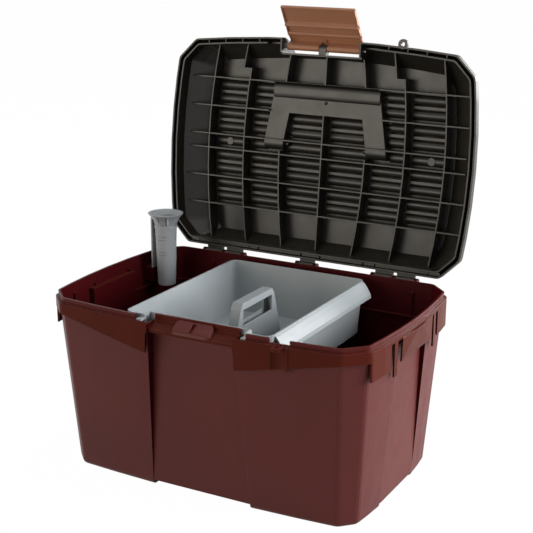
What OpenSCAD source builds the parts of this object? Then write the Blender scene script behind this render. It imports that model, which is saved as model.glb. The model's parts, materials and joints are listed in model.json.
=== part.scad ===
// Horse grooming box: a moulded tub, a ribbed lid that opens backwards, a fold-down carry handle,
// a front latch on a pin, a lift-out tray and a tool cup that slides in a holder on the tub wall.
// Millimetres, +Z up, front towards -Y. The origin is on the floor under the middle of the tub.

/* [Tub] */
// Width of the rim lip between the side walls
rim_w = 400; // [392:1:420]
// Depth of the rim lip from front to back
rim_d = 260; // [258:0.5:264]
// Height of the rim lip above the floor
tub_h = 214; // [208:1:230]
// How far the base stands in from the rim at each side
base_side_in = 14; // [12:0.5:18]
// How far the base stands in from the rim at the front and back
base_front_in = 18; // [16:0.5:20]
// Leg of the corner chamfer at the rim
rim_chamfer = 23; // [20:0.5:25]
// Leg of the corner chamfer at the base
base_chamfer = 17; // [14:0.5:20]
// Outward bow of the front wall
front_bow = 9; // [8:0.25:9.5]
// Outward bow of the side walls
side_bow = 7.5; // [5:0.25:9]
// Thickness of the tub walls and of the rim lip
tub_wall = 2.5; // [2.2:0.1:2.8]
// Thickness of the tub floor
floor_t = 3; // [2:0.5:5]
// Height of the corner feet
foot_h = 6; // [4:0.5:8]
// Radius of the rounded edge under the tub
base_round = 5; // [3:0.5:6]

/* [Rim] */
// Height of the rim lip above the deck that the lid rests on
lip_h = 6; // [5:0.5:6.5]
// How far the skirt under the deck stands out from the lip
skirt_out = 2.8; // [2.6:0.1:3.2]
// Thickness of the skirt
skirt_t = 2; // [1.6:0.1:2.2]
// Thickness of the deck
deck_t = 4; // [3:0.5:5]
// Height of the skirt at the corners
corner_skirt_h = 12.5; // [10:0.5:16]
// Height of the skirt where it meets the latch bay
bay_skirt_h = 37; // [34:1:40]
// Height of the side blocks of the skirt
block_skirt_h = 34; // [30:1:38]
// Height of the side hand grips
grip_h = 30; // [26:1:33]
// Height of the fins beside the hand grips
fin_h = 42; // [40:1:44]

/* [Latch bay] */
// Width of the bay in the rim for the latch
bay_w = 108; // [106:1:112]
// How far the bay's back wall stands in from the lip's front edge
bay_in = 8; // [7:0.25:8.5]
// Height of the catch shelf's front edge below the rim
shelf_drop = 15.5; // [14:0.5:16]
// Rise of the catch shelf from its front edge to the bay's back wall
shelf_rise = 7; // [5:0.5:8]
// Thickness of the catch shelf at its front edge
shelf_t = 3; // [2.5:0.5:3.5]
// Width of the notches in the lip beside the bay
notch_w = 16; // [15.5:0.5:18]
// Depth of those notches
notch_h = 8.5; // [8.25:0.25:9]
// Radius of the padlock holes
padlock_r = 2.6; // [2:0.1:2.8]

/* [Lid] */
// Height of the lid
lid_h = 43.5; // [41:0.5:48]
// Height of the lid's upright skirt
lid_skirt_h = 9; // [8:0.5:11]
// Wall thickness of the lid
lid_wall = 2; // [1.6:0.1:2.2]
// Thickness of the lid's top panel
lid_top_t = 2.5; // [2:0.1:3]
// How far the lid opens from shut
lid_open = 96; // [92:1:105]
// Spacing of the ribs that run from front to back
rib_gap = 52.7; // [50:0.2:53]
// Spacing of the ribs that run across
cross_gap = 36.8; // [34:0.2:37]
// Thickness of the ribs
rib_t = 1.8; // [1.4:0.1:2.4]
// Height of the ribs' free edges above the lid's rim
rib_edge = 21.5; // [20:0.5:24]

/* [Hinge] */
// Distance of the hinge axis behind the lid
hinge_back = 8.4; // [8.2:0.2:10]
// Radius of the hinge pins
hinge_r = 3; // [2.5:0.1:3.2]
// Radius of the hinge hooks on the lid
hook_r = 5.5; // [5:0.1:6]
// Radial clearance of every pin that turns
pin_clearance = 0.08; // [0.03:0.01:0.1]

/* [Carry handle] */
// Width of the carry handle at its grip
handle_w = 140; // [134:1:144]
// Distance from the handle's pivot to the middle of its grip
handle_reach = 68; // [64:1:70]
// Radius of the grip
grip_r = 7; // [6:0.25:7.25]
// Width of each handle arm
handle_arm_w = 20; // [16:0.5:22]
// Radius of the handle's pivot pins
trunnion_r = 3.5; // [3:0.1:4]

/* [Latch] */
// Width of the latch
latch_w = 100; // [92:1:102]
// Length of the latch below its pivot
latch_len = 54; // [50:1:58]
// Thickness of the latch plate
latch_t = 2.2; // [1.8:0.1:2.4]
// Radius of the steel latch pin
latch_pin_r = 2; // [1.6:0.1:2.1]
// Angle between the latch as it stands and the latch shut
latch_rest = 53; // [48:1:60]

/* [Tray] */
// Length of the tray along the tub
tray_w = 186; // [178:1:190]
// Gap between the tray's front and the bay's back wall
tray_bay_gap = 4; // [3.5:0.5:8]
// Distance of the tray's rear wall in from the lip's rear edge
tray_rear_gap = 17; // [16.5:0.5:20]
// Height of the tray
tray_h = 67; // [55:1:80]
// Height of the tray's rim below the tub's lip
tray_drop = 2; // [2:0.25:3.5]
// Wall thickness of the tray
tray_wall = 2; // [1.6:0.1:2.5]
// Thickness of the tray handle
tray_handle_t = 13; // [11:0.5:18]
// Length of the tray handle at its top
tray_handle_len = 77; // [66:1:84]

/* [Tool cup] */
// Length of the tool cup
cup_h = 94; // [80:1:98]
// Height of the cup's rim above the tub's lip
cup_rise = 56; // [46:1:57]
// Radius of the cup's rim
cup_rim_r = 22.5; // [20:0.5:23]
// Radius of the cup below its flare
cup_neck_r = 14; // [13:0.25:14.25]
// Radius of the cup's foot
cup_foot_r = 11.5; // [10:0.25:12]
// Wall thickness of the cup
cup_wall = 1.8; // [1.5:0.1:2.2]

/* [Hidden] */

$fn = 64;
over = 1;
slip = 0.5;
mitre = 2 - sqrt(2);

tub_colour = [0.27, 0.1, 0.1];
lid_colour = [0.1, 0.1, 0.09];
latch_colour = [0.55, 0.35, 0.26];
tray_colour = [0.68, 0.71, 0.73];
cup_colour = [0.5, 0.52, 0.54];
steel_colour = [0.6, 0.61, 0.62];

// Stations along the bowed walls, as shares of half their length
front_shares = [-1, -0.72, -0.41, 0, 0.41, 0.72, 1];
side_shares = [-1, -0.75, -0.4, 0, 0.4, 0.75, 1];
corner_ease = 3.5;
straight_share = 0.9;
ease_shares = [0, 0.5, 1];
base_bow_share = 0.75;

deck_z = tub_h - lip_h;
floor_z = foot_h + floor_t;
front_y = -rim_d / 2;
rear_y = rim_d / 2;
rim_x = rim_w / 2;

// The four recessed panels of the tub and the raised edges under them
panel_drop = 12;
panel_top = deck_z - panel_drop;
bay_half = bay_w / 2;
panel_margin = 1.5;
front_panel_half = bay_half + panel_margin;
front_panel_flare = 9;
front_panel_in = 14.5;
panel_base_in = 1;
side_panel_half = 43;
side_panel_flare = 4;
side_panel_in = 8;
foot_ridge = 12;
round_step = 30;

// The skirt's steps along each side
skirt_low = deck_z - fin_h - over;
skirt_inner = skirt_out - skirt_t;
block_half = 67;
fin_half = 59.5;
fin_inner = 52;
grip_half = 43;
grip_bulge = 2.5;
grip_middle = 7;
grip_lean = 1;
gusset_t = 2.4;

// Ledge and ribs inside the tub
inner_ledge_drop = 42;
inner_ledge_w = 2.5;
inner_rib_t = 2.2;
inner_rib_in = 1.2;
inner_rib_shares = [-0.72, -0.3, 0.36, 0.86];

// The latch bay and the catch
bay_back = rim_d / 2 - bay_in;
strip_drop = 1.5;
shelf_run = 16;
shelf_z = tub_h - shelf_drop;
shelf_front = bay_back + shelf_run;
shelf_under = shelf_z - shelf_t;
boss_w = 48;
boss_rise = 2.8;
boss_r = (boss_w * boss_w / 4 + boss_rise * boss_rise) / (2 * boss_rise);
boss_run_share = 0.84;
key_r = 1.4;
key_len = 5;

// Padlock tab, its hole and the groove below it
padlock_x = 109;
padlock_out = 3;
padlock_rim = 3.4;
padlock_tab_r = padlock_r + padlock_rim;
padlock_lip_half = 12;
padlock_lip_h = 5;
groove_r = 12;
groove_in = 4;
groove_h_share = 0.75;

// Lid
lid_gap = 0.5;
lid_z = deck_z + lid_gap;
lid_rear = 0.6;
lid_top = lid_z + lid_h;
lid_ceiling = lid_top - lid_top_t;
top_side_in = 36;
top_front_in = 23;
top_rear_in = 16;
top_chamfer = 15;
shoulder_shares = [0, 0.2, 0.4, 0.6, 0.8, 1];
shoulder_curve_share = 1.5;
inner_wall_gap = 0.7;
inner_wall_t = 2;
inner_wall_h = 20;
rim_cell_t = 1.6;
rim_cell_low = 7;
rim_cell_top = 25;
rim_cell_shares = [-0.92, -0.78, -0.64, -0.5, 0.5, 0.64, 0.78, 0.92];
rib_row_shares = [-2.25, -1.25, -0.25, 0.25, 1.25, 2.25];
wall_row_shares = [-1.25, 2.25];
bar_row_shares = [-1.75, -0.75, 0, 0.75, 1.75];
rib_middle_y = -2.2;
rib_reach = 193;
jog_rib = 2;
jog_x = 11;
jog_in = 23;
jog_y = bay_back - jog_in;
soft_bar_w = 8;
soft_bar_h = 2;
soft_bar_r = (soft_bar_w * soft_bar_w / 4 + soft_bar_h * soft_bar_h) / (2 * soft_bar_h);
crisp_bar_w = 4;
crisp_bar_h = 2.6;
bar_end_gap = 4.2;
rib_step_share = 0.125;
stamp_r = 5;
stamp_h = 1;
stamp_in = 57.5;
stamp_xs = [stamp_in - rim_x, rim_x - stamp_in];

hinge_y = rear_y + skirt_out + lid_rear + hinge_back;
hinge_z = lid_z;
hook_w = 12;
hook_t = 4;
lug_t = 4;
lug_drop = 16;
lug_less = 0.3;
lug_r = hook_r - lug_less;
outer_hinge_x = 121;
outer_hinge_half = 29;
hook_offset = 14.5;
centre_hinge_half = 13;

// Latch pocket in the lid, its pin and the latch
pocket_side_gap = 1;
pocket_half = bay_half - pocket_side_gap;
pocket_back = bay_back;
pivot_in = 8;
pivot_up = 11.5;
pivot_y = -bay_back - pivot_in;
pivot_z = lid_z + pivot_up;
knuckle_r = 4.2;
knuckle_half = 5;
ear_gap_half = 74;
ear_gap_h = 13;
latch_off = 9.3;
latch_top = 3;
latch_hook_drop = 26.2;
latch_hook_h = 4;
latch_hook_in = 4;
latch_rib_drop = 11.3;
latch_rib_in = 2.2;
latch_rib_h = 5.4;
latch_flange = 1.6;
latch_flange_in = 2.4;
latch_slot = 1.2;

// Carry handle and its recess
handle_pivot_y = -6.5;
handle_down = 0.8;
handle_pivot_z = lid_top - grip_r - handle_down;
handle_arm_r = 5;
handle_splay = 12;
grip_y = handle_pivot_y - handle_reach;
recess_slip = 1.5;
recess_wall = 2.2;
finger_room = 18.7;
trunnion_len = 9;

// Tray
tray_x = 2;
tray_top = tub_h - tray_drop;
tray_base = tray_top - tray_h;
tray_floor_t = 2.5;
tray_rear = rear_y - tray_rear_gap;
tray_front = tray_bay_gap - bay_back;
shoulder_depth = 10.5;
shoulder_front = tray_front - shoulder_depth;
shoulder_x = 63;
tray_draft = 5;
tray_corner_r = 10;
corner_steps = 4;
ear_half = 3;
ear_x = 66.4;
ear_t = 3;
ear_front = 8.4;
ear_rear = 8;
ear_seat = 0.1;
ear_bottom = tub_h - notch_h + ear_seat;
rear_ear_x = 60;
rear_ear_half = 6;
bracket_t = 3;
bracket_drop = 11;
bracket_gap = 1;
flange_run = 13;
flange_fall = 20;
flange_t = 2;
flange_ends = 4;
flange_run_shares = [0, 0.3, 0.62, 0.92, 1];
flange_fall_shares = [0, 0.14, 0.42, 0.76, 1];
tray_handle_x = 4.5;
tray_handle_y = -5;
tray_handle_drop = 1;
tray_handle_flare = 20;
tray_handle_wall = 2.2;
tray_handle_bevel = 7;
window_drop = 8;
window_h = 19;
window_margin = 4.5;

// Tool cup and its holder
cup_side_in = 28;
cup_rear_in = 49;
cup_x = cup_side_in - rim_x;
cup_y = rear_y - cup_rear_in;
cup_top = tub_h + cup_rise;
cup_bottom = cup_top - cup_h;
cup_floor_t = 2;
flare_h = 15;
flare_mid_share = 0.5;
flare_mid_r_share = 0.3;
collar_h = 4;
collar_out = 0.6;
clip_gap = 2.6;
clip_t = 2;
clip_half = 7;
clip_len = 74;
clip_drop = 7;
clip_out = cup_neck_r + clip_gap + clip_t;
slit_w = 1.6;
slit_h = 10;
slit_drop = 2;
fin_t = 1.4;
fin_out = 2.2;
holder_h = 18;
holder_drop = 17;
holder_top = tub_h - holder_drop;
holder_t = 1.8;
holder_root_share = 0.25;

// A ring of points: half width, front and rear edge, corner leg and the bows of front and sides
function ring(hx, yf, yr, leg, bow_f, bow_s) = eased(concat(
    [for (t = front_shares) [t * (hx - leg), yf - bow_f * (1 - t * t)]],
    [for (t = side_shares) [hx + bow_s * (1 - t * t), mid(yf, yr) + t * (reach(yf, yr) - leg)]],
    [[hx - leg, yr], [leg - hx, yr]],
    [for (t = side_shares) [-hx - bow_s * (1 - t * t), mid(yf, yr) - t * (reach(yf, yr) - leg)]]
), min(corner_ease, leg / 2));

// The same ring with a short curve at each sharp corner, from ease before it to ease past it
function eased(pts, ease) = let (n = len(pts)) [
    for (i = [0:n - 1])
        let (p = pts[i], a = towards(p, pts[(i + n - 1) % n]), b = towards(p, pts[(i + 1) % n]))
            each a * b < -straight_share ? [p] : [for (t = ease_shares) p + ease * (a * pow(1 - t, 2) + b * t * t)]
];
function towards(p, q) = (q - p) / norm(q - p);
function mid(a, b) = (a + b) / 2;
function reach(a, b) = (b - a) / 2;
function mix(a, b, t) = a + (b - a) * t;

// The rim's outline, moved outwards by out
function rim_ring(out, rear = 0) = ring(
    rim_x + out, front_y - out, rear_y + out + rear, rim_chamfer + out * mitre, front_bow, side_bow
);

// The tapered body's outline at height z, moved inwards by inset
function body_ring(z, inset) = let (s = z / tub_h, ex = side_in(z) + inset, ey = front_in(z) + inset) ring(
    rim_x - ex, front_y + ey, rear_y - ey, mix(base_chamfer, rim_chamfer, s) - inset * mitre,
    front_bow * mix(base_bow_share, 1, s), side_bow * mix(base_bow_share, 1, s)
);

// One level of the rounded edge under the tub, from flat underneath at 0 degrees to the wall at 90
function round_level(a) = let (z = base_round * (1 - cos(a))) [body_ring(z, base_round * (1 - sin(a))), z];

// Where the body's walls are at height z, as distances in from the rim
function side_in(z) = base_side_in * (1 - z / tub_h);
function front_in(z) = base_front_in * (1 - z / tub_h);

// How far the side wall bows out at y
function side_bow_at(y) = side_bow * (1 - pow(y / (rear_y - rim_chamfer), 2));

// Half the carry handle's width at y
function handle_half(y) = handle_w / 2 + handle_splay * (y - grip_y) / handle_reach;

// How far the front wall bows out at x
function bow_at(x) = front_bow * (1 - pow(x / (rim_x - rim_chamfer), 2));

// A solid through level outlines, lowest first, each as [points, height]
module loft(levels) {
    n = len(levels[0][0]);
    last = len(levels) - 1;
    polyhedron(
        points = [for (l = levels) for (p = l[0]) [p[0], p[1], l[1]]],
        faces = concat(
            [[for (i = [0:n - 1]) i]],
            [[for (i = [0:n - 1]) last * n + n - 1 - i]],
            [for (k = [0:last - 1]) for (i = [0:n - 1])
                [k * n + i, (k + 1) * n + i, (k + 1) * n + (i + 1) % n]],
            [for (k = [0:last - 1]) for (i = [0:n - 1])
                [k * n + i, (k + 1) * n + (i + 1) % n, k * n + (i + 1) % n]]
        ),
        convexity = 6
    );
}

function rect(x0, x1, y0, y1) = [[x0, y0], [x1, y0], [x1, y1], [x0, y1]];

module block(x0, x1, y0, y1, z0, z1) {
    translate([x0, y0, z0]) cube([x1 - x0, y1 - y0, z1 - z0]);
}

// A profile drawn in Y and Z, run along X from x0 to x1
module along_x(x0, x1) {
    translate([x0, 0, 0]) rotate([90, 0, 90]) linear_extrude(x1 - x0) children();
}

// A profile drawn in X and Z, run along Y from y0 to y1
module along_y(y0, y1) {
    translate([0, y1, 0]) rotate([90, 0, 0]) linear_extrude(y1 - y0) children();
}

module rod(r, x0, x1, y, z) {
    translate([x0, y, z]) rotate([0, 90, 0]) cylinder(r = r, h = x1 - x0);
}

module both_sides() {
    children();
    mirror([1, 0, 0]) children();
}

// Tub

module tub() {
    color(tub_colour) difference() {
        union() {
            difference() {
                union() {
                    difference() {
                        tub_mass();
                        tub_hollow();
                    }
                    inner_ledge();
                    inner_ribs();
                }
                tub_cuts();
            }
            tray_brackets();
            cup_holder();
            catch_boss();
        }
        lip_notches();
        padlock_cuts();
        key_slot();
    }
}

module tub_mass() {
    loft(concat([for (a = [0:round_step:90]) round_level(a)], [[body_ring(tub_h, 0), tub_h]]));
    loft([[rim_ring(skirt_out), deck_z - deck_t], [rim_ring(skirt_out), deck_z]]);
    difference() {
        skirt();
        skirt_cuts();
    }
    both_sides() side_grip();
    both_sides() gussets();
    hinge_lugs();
    padlock_tab();
    padlock_groove_wall();
}

module skirt() {
    difference() {
        loft([[rim_ring(skirt_out), skirt_low], [rim_ring(skirt_out), deck_z - over]]);
        loft([[rim_ring(skirt_inner), skirt_low - over], [rim_ring(skirt_inner), deck_z]]);
    }
}

// What is cut away below the skirt's lower edge, front and back, sides and corners
module skirt_cuts() {
    far_y = rear_y + skirt_out + over;
    far_x = rim_x + side_bow + skirt_out + over;
    corner_x = rim_x - rim_chamfer;
    corner_y = rear_y - rim_chamfer;
    low = skirt_low - over;
    corner_low = deck_z - corner_skirt_h;
    bay_low = deck_z - bay_skirt_h;
    along_y(front_y - front_bow - skirt_out - over, far_y) polygon([
        [-corner_x, low], [corner_x, low], [corner_x, corner_low], [bay_half, bay_low],
        [-bay_half, bay_low], [-corner_x, corner_low]
    ]);
    for (sx = [-1, 1]) for (sy = [-1, 1]) {
        x0 = min(sx * corner_x, sx * far_x);
        y0 = min(sy * corner_y, sy * (far_y + front_bow));
        block(x0, x0 + far_x - corner_x, y0, y0 + far_y + front_bow - corner_y, low, corner_low);
    }
    for (sy = [-1, 1]) {
        block(-far_x, far_x, mid(sy * block_half, sy * corner_y) - reach(block_half, corner_y),
            mid(sy * block_half, sy * corner_y) + reach(block_half, corner_y), low, deck_z - block_skirt_h);
        block(-far_x, far_x, mid(sy * fin_half, sy * block_half) - reach(fin_half, block_half),
            mid(sy * fin_half, sy * block_half) + reach(fin_half, block_half), low, deck_z - deck_t);
    }
    block(-far_x, far_x, -fin_inner, fin_inner, low, deck_z - deck_t);
}

// The hand grip's panel: its middle stands out, its lower edge leans in
module side_grip() {
    x0 = rim_x + side_bow + skirt_out;
    top = deck_z - deck_t + over;
    low = deck_z - grip_h;
    face = [
        [x0, -grip_half, top], [x0 + grip_bulge, -grip_middle, top],
        [x0 + grip_bulge, grip_middle, top], [x0, grip_half, top],
        [x0 - grip_lean, grip_half, low], [x0 - grip_lean, -grip_half, low]
    ];
    back = [for (p = face) [p[0] - skirt_t, p[1], p[2]]];
    polyhedron(
        points = concat(face, back),
        faces = [
            [0, 1, 5], [1, 2, 4], [1, 4, 5], [2, 3, 4],
            [6, 11, 7], [7, 10, 8], [7, 11, 10], [8, 10, 9],
            [0, 6, 7, 1], [1, 7, 8, 2], [2, 8, 9, 3], [3, 9, 10, 4], [4, 10, 11, 5], [5, 11, 6, 0]
        ]
    );
}

// Webs that tie the fins and the grip's ends to the wall
module gussets() {
    outer = rim_x + skirt_out - skirt_t / 2;
    root = rim_x - side_in(deck_z - fin_h) - tub_wall / 2;
    middle = mid(fin_inner, fin_half);
    for (y = [-middle, middle])
        block(root, outer, y - gusset_t / 2, y + gusset_t / 2, deck_z - fin_h, deck_z - over);
    for (y = [-grip_half, grip_half])
        block(root, outer, y - gusset_t / 2, y + gusset_t / 2, deck_z - grip_h, deck_z - over);
}

// One recessed panel on the front: the same shape, grown by the wall, keeps the wall behind it
module front_panel(grow) {
    half_low = front_panel_half + front_panel_flare + grow;
    half_top = front_panel_half + grow;
    back_low = front_y - front_bow * base_bow_share + base_front_in + panel_base_in + grow;
    back_top = front_y - front_bow + front_in(panel_top) + front_panel_in + grow;
    far = front_y - base_front_in * 2;
    loft([
        [rect(-half_low, half_low, far, back_low), -over],
        [rect(-half_top, half_top, far, back_top), shelf_under + min(grow, shelf_t / 2)]
    ]);
}

module rear_panel(grow) {
    half_low = front_panel_half + front_panel_flare + grow;
    half_top = front_panel_half + grow;
    back_low = rear_y - base_front_in - panel_base_in - grow;
    back_top = rear_y - front_in(panel_top) - side_panel_in - grow;
    far = rear_y + skirt_inner - slip;
    loft([
        [rect(-half_low, half_low, back_low, far), -over],
        [rect(-half_top, half_top, back_top, far), panel_top + grow]
    ]);
}

module side_panel(grow) {
    half_low = side_panel_half + side_panel_flare + grow;
    half_top = side_panel_half - gusset_t + grow;
    in_low = rim_x + side_bow * base_bow_share - base_side_in - panel_base_in - grow;
    in_top = rim_x + side_bow - side_in(panel_top) - side_panel_in - grow;
    far = rim_x + side_bow + skirt_inner - grip_lean - slip;
    loft([
        [rect(in_low, far, -half_low, half_low), -over],
        [rect(in_top, far, -half_top, half_top), panel_top + grow]
    ]);
}

module tub_cuts() {
    front_panel(0);
    rear_panel(0);
    both_sides() side_panel(0);
    latch_bay();
    feet_cuts();
}

// The bay over the catch shelf: its floor slopes down to the shelf's front edge
module latch_bay() {
    far = base_front_in * 2 - front_y;
    along_x(-bay_half, bay_half) polygon([
        [-bay_back, tub_h + over], [-bay_back, shelf_z + shelf_rise], [-shelf_front, shelf_z],
        [-shelf_front, shelf_under - over], [-far, shelf_under - over], [-far, tub_h + over]
    ]);
}

module feet_cuts() {
    loft([[body_ring(0, foot_ridge), -over], [body_ring(foot_h, foot_ridge), foot_h]]);
    block(-front_panel_half - front_panel_flare, front_panel_half + front_panel_flare,
        front_y, rear_y, -over, foot_h);
    block(-rim_x, rim_x, -side_panel_half - side_panel_flare, side_panel_half + side_panel_flare,
        -over, foot_h);
}

module tub_hollow() {
    difference() {
        loft([[body_ring(floor_z, tub_wall), floor_z], [body_ring(tub_h + over, tub_wall), tub_h + over]]);
        front_panel(tub_wall);
        rear_panel(tub_wall);
        both_sides() side_panel(tub_wall);
        block(-bay_half - tub_wall, bay_half + tub_wall, front_y - front_bow - over, -bay_back + tub_wall,
            shelf_under - over, tub_h + 2 * over);
    }
}

module inner_ledge() {
    z1 = tub_h - inner_ledge_drop;
    z0 = z1 - inner_ledge_w;
    intersection() {
        difference() {
            loft([[body_ring(z0, tub_wall / 2), z0], [body_ring(z1, tub_wall / 2), z1]]);
            loft([[body_ring(z0 - over, tub_wall + inner_ledge_w), z0 - over],
                [body_ring(z1 + over, tub_wall + inner_ledge_w), z1 + over]]);
        }
        block(-rim_x - side_bow, rim_x + side_bow, front_y + rim_chamfer, rear_y, z0 - over, z1 + over);
    }
}

// Short upright ribs on the inside of the side and rear walls, sloping with the wall behind them
module inner_ribs() {
    z0 = tub_h - inner_ledge_drop - over / 2;
    z1 = deck_z - lip_h;
    for (t = inner_rib_shares) {
        y = t * (rear_y - rim_chamfer);
        x = rim_x + side_bow_at(y);
        both_sides() along_y(y - inner_rib_t / 2, y + inner_rib_t / 2) polygon([
            [x - side_in(z0) - tub_wall / 2, z0], [x - side_in(z1) - tub_wall / 2, z1],
            [x - side_in(z0) - tub_wall - inner_rib_in, z1], [x - side_in(z0) - tub_wall - inner_rib_in, z0]
        ]);
        along = t * (rim_x - rim_chamfer);
        along_x(along - inner_rib_t / 2, along + inner_rib_t / 2) polygon([
            [rear_y - front_in(z0) - tub_wall / 2, z0], [rear_y - front_in(z1) - tub_wall / 2, z1],
            [rear_y - front_in(z0) - tub_wall - inner_rib_in, z1],
            [rear_y - front_in(z0) - tub_wall - inner_rib_in, z0]
        ]);
    }
}

// Two shelves on the rear wall that the tray's rear ears rest on
module tray_brackets() {
    top = ear_bottom - ear_seat;
    wall_y = rear_y - front_in(top - bracket_drop) - tub_wall / 2;
    for (s = [-1, 1])
        along_x(tray_x + s * rear_ear_x - rear_ear_half, tray_x + s * rear_ear_x + rear_ear_half) polygon([
            [wall_y, top - bracket_drop], [wall_y, top], [tray_rear + bracket_gap, top],
            [tray_rear + bracket_gap, top - bracket_t]
        ]);
}

// A block on the left wall with an upright slot for the tool cup's clip
module cup_holder() {
    inner = cup_x - clip_out + clip_t + slip + holder_t;
    wall_x = side_in(holder_top - holder_h) + tub_wall * holder_root_share - rim_x - side_bow_at(cup_y);
    half = clip_half + slip + holder_t;
    difference() {
        block(wall_x, inner, cup_y - half, cup_y + half, holder_top - holder_h, holder_top);
        block(cup_x - clip_out - slip, inner - holder_t, cup_y - clip_half - slip, cup_y + clip_half + slip,
            holder_top - holder_h - over, holder_top + over);
    }
}

// The lens-shaped boss on the catch shelf
module catch_boss() {
    run = shelf_front - bay_back;
    slope = atan2(shelf_rise, run);
    len = run / cos(slope) * boss_run_share;
    translate([0, -bay_back, shelf_z + shelf_rise]) rotate([slope, 0, 0]) intersection() {
        translate([0, 0, boss_rise - boss_r]) rotate([90, 0, 0]) cylinder(r = boss_r, h = len, $fn = 128);
        block(-boss_w, boss_w, -len, 0, -over, boss_rise * 2);
    }
}

module key_slot() {
    run = shelf_front - bay_back;
    slope = atan2(shelf_rise, run);
    translate([0, -mid(bay_back, shelf_front), mid(shelf_z, shelf_z + shelf_rise)]) rotate([slope, 0, 0])
        for (s = [-1, 1]) translate([0, s * key_len / 2, 0]) cylinder(r = key_r, h = boss_rise * 2);
}

module lip_notches() {
    y0 = front_y - front_bow - over;
    y1 = tub_wall + over - bay_back;
    z0 = tub_h - notch_h;
    block(-bay_half - tub_wall, bay_half + tub_wall, -bay_back - over, y1, tub_h - strip_drop, tub_h + over);
    for (s = [-1, 1]) {
        x0 = min(s * bay_half, s * (bay_half + notch_w));
        block(x0, x0 + notch_w, y0, y1, z0, tub_h + over);
    }
    block(padlock_x - padlock_lip_half, padlock_x + padlock_lip_half, y0, front_y + over * 2,
        tub_h - padlock_lip_h, tub_h + over);
}

padlock_y = front_y - bow_at(padlock_x) - skirt_out - padlock_out;

module padlock_tab() {
    translate([padlock_x, padlock_y, deck_z - deck_t]) cylinder(r = padlock_tab_r, h = deck_t);
    block(padlock_x - padlock_tab_r, padlock_x + padlock_tab_r, padlock_y, padlock_y + padlock_out + skirt_t,
        deck_z - deck_t, deck_z);
}

groove_y = padlock_y + padlock_out + groove_in - groove_r;

module padlock_groove_wall() {
    z0 = deck_z - bay_skirt_h * groove_h_share;
    intersection() {
        translate([padlock_x, groove_y, z0]) cylinder(r = groove_r + skirt_t, h = deck_z - over - z0);
        block(padlock_x - groove_r, padlock_x + groove_r, padlock_y + padlock_out, front_y + over,
            z0, deck_z);
    }
}

module padlock_cuts() {
    z0 = skirt_low - over;
    translate([padlock_x, padlock_y, deck_z - deck_t - over]) cylinder(r = padlock_r, h = deck_t + over * 2);
    translate([padlock_x, groove_y, z0]) cylinder(r = groove_r, h = deck_z - deck_t - z0);
}

// Lugs behind the rim and the pins between them
module hinge_lugs() {
    wall = rear_y + skirt_inner;
    for (x = [-outer_hinge_x - outer_hinge_half, -outer_hinge_x, -outer_hinge_x + outer_hinge_half,
            -centre_hinge_half, centre_hinge_half,
            outer_hinge_x - outer_hinge_half, outer_hinge_x, outer_hinge_x + outer_hinge_half])
        along_x(x - lug_t / 2, x + lug_t / 2) union() {
            polygon([
                [wall, deck_z - lug_drop], [wall, deck_z - over], [hinge_y, deck_z - over],
                [hinge_y, hinge_z - lug_r]
            ]);
            translate([hinge_y, hinge_z]) circle(r = lug_r);
        }
    for (x = [-outer_hinge_x, outer_hinge_x])
        rod(hinge_r, x - outer_hinge_half, x + outer_hinge_half, hinge_y, hinge_z);
    rod(hinge_r, -centre_hinge_half, centre_hinge_half, hinge_y, hinge_z);
}

// Lid, drawn shut and then swung open about the hinge

module swing_open() {
    translate([0, hinge_y, hinge_z]) rotate([-lid_open, 0, 0]) translate([0, -hinge_y, -hinge_z]) children();
}

function lid_ring(t, inset) = ring(
    rim_x + skirt_out - top_side_in * t - inset, front_y - skirt_out + top_front_in * t + inset,
    rear_y + skirt_out + lid_rear - top_rear_in * t - inset,
    mix(rim_chamfer + skirt_out * mitre, top_chamfer, t) - inset * mitre, front_bow, side_bow
);

module lid_volume(inset, low, ceiling) {
    loft(concat([[lid_ring(0, inset), low]], [for (t = shoulder_shares)
        [lid_ring(pow(t, shoulder_curve_share), inset), mix(lid_z + lid_skirt_h, ceiling, t)]]));
}

module lid() {
    color(lid_colour) swing_open() difference() {
        union() {
            difference() {
                lid_volume(0, lid_z, lid_top);
                difference() {
                    lid_volume(lid_wall, lid_z - over, lid_ceiling);
                    latch_pocket(lid_wall);
                    handle_recess(recess_wall);
                }
            }
            intersection() {
                union() {
                    difference() {
                        long_ribs();
                        recess_prism();
                    }
                    difference() {
                        cross_ribs();
                        intersection() {
                            recess_prism();
                            block(-rim_x, rim_x, front_y, handle_pivot_y - handle_arm_r - recess_slip,
                                lid_z, lid_top);
                        }
                    }
                    inner_wall();
                    rim_cells();
                    panel_bars();
                }
                lid_volume(lid_wall / 2, lid_z - over, lid_top - lid_top_t / 2);
            }
            stamps();
            latch_knuckle();
            hinge_hooks();
            padlock_eye();
        }
        latch_pocket_cut();
        handle_recess(0);
        handle_pins(pin_clearance);
        rod(latch_pin_r + pin_clearance / 2, -bay_half * 2, bay_half * 2, pivot_y, pivot_z);
        hinge_bores();
        translate([padlock_x, padlock_y, lid_z - over]) cylinder(r = padlock_r, h = deck_t + over * 2);
    }
}

// What the handle's recess takes up in plan, through the whole lid
module recess_prism() {
    translate([0, 0, lid_z]) linear_extrude(lid_h) recess_outline(recess_wall);
}

// Where a long rib's middle line is at y: the ribs bow out as the lid's sides do
function rib_x(i, y) = i * rib_gap + sign(i) * side_bow_at(y);

module rib_strip(i, shift, y0, y1) {
    ys = [for (t = [0:rib_step_share:1]) mix(y0, y1, t)];
    translate([shift, 0, lid_z + rib_edge]) linear_extrude(lid_h - rib_edge) polygon(concat(
        [for (y = ys) [rib_x(i, y) - rib_t / 2, y]],
        [for (k = [len(ys) - 1:-1:0]) [rib_x(i, ys[k]) + rib_t / 2, ys[k]]]
    ));
}

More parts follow.
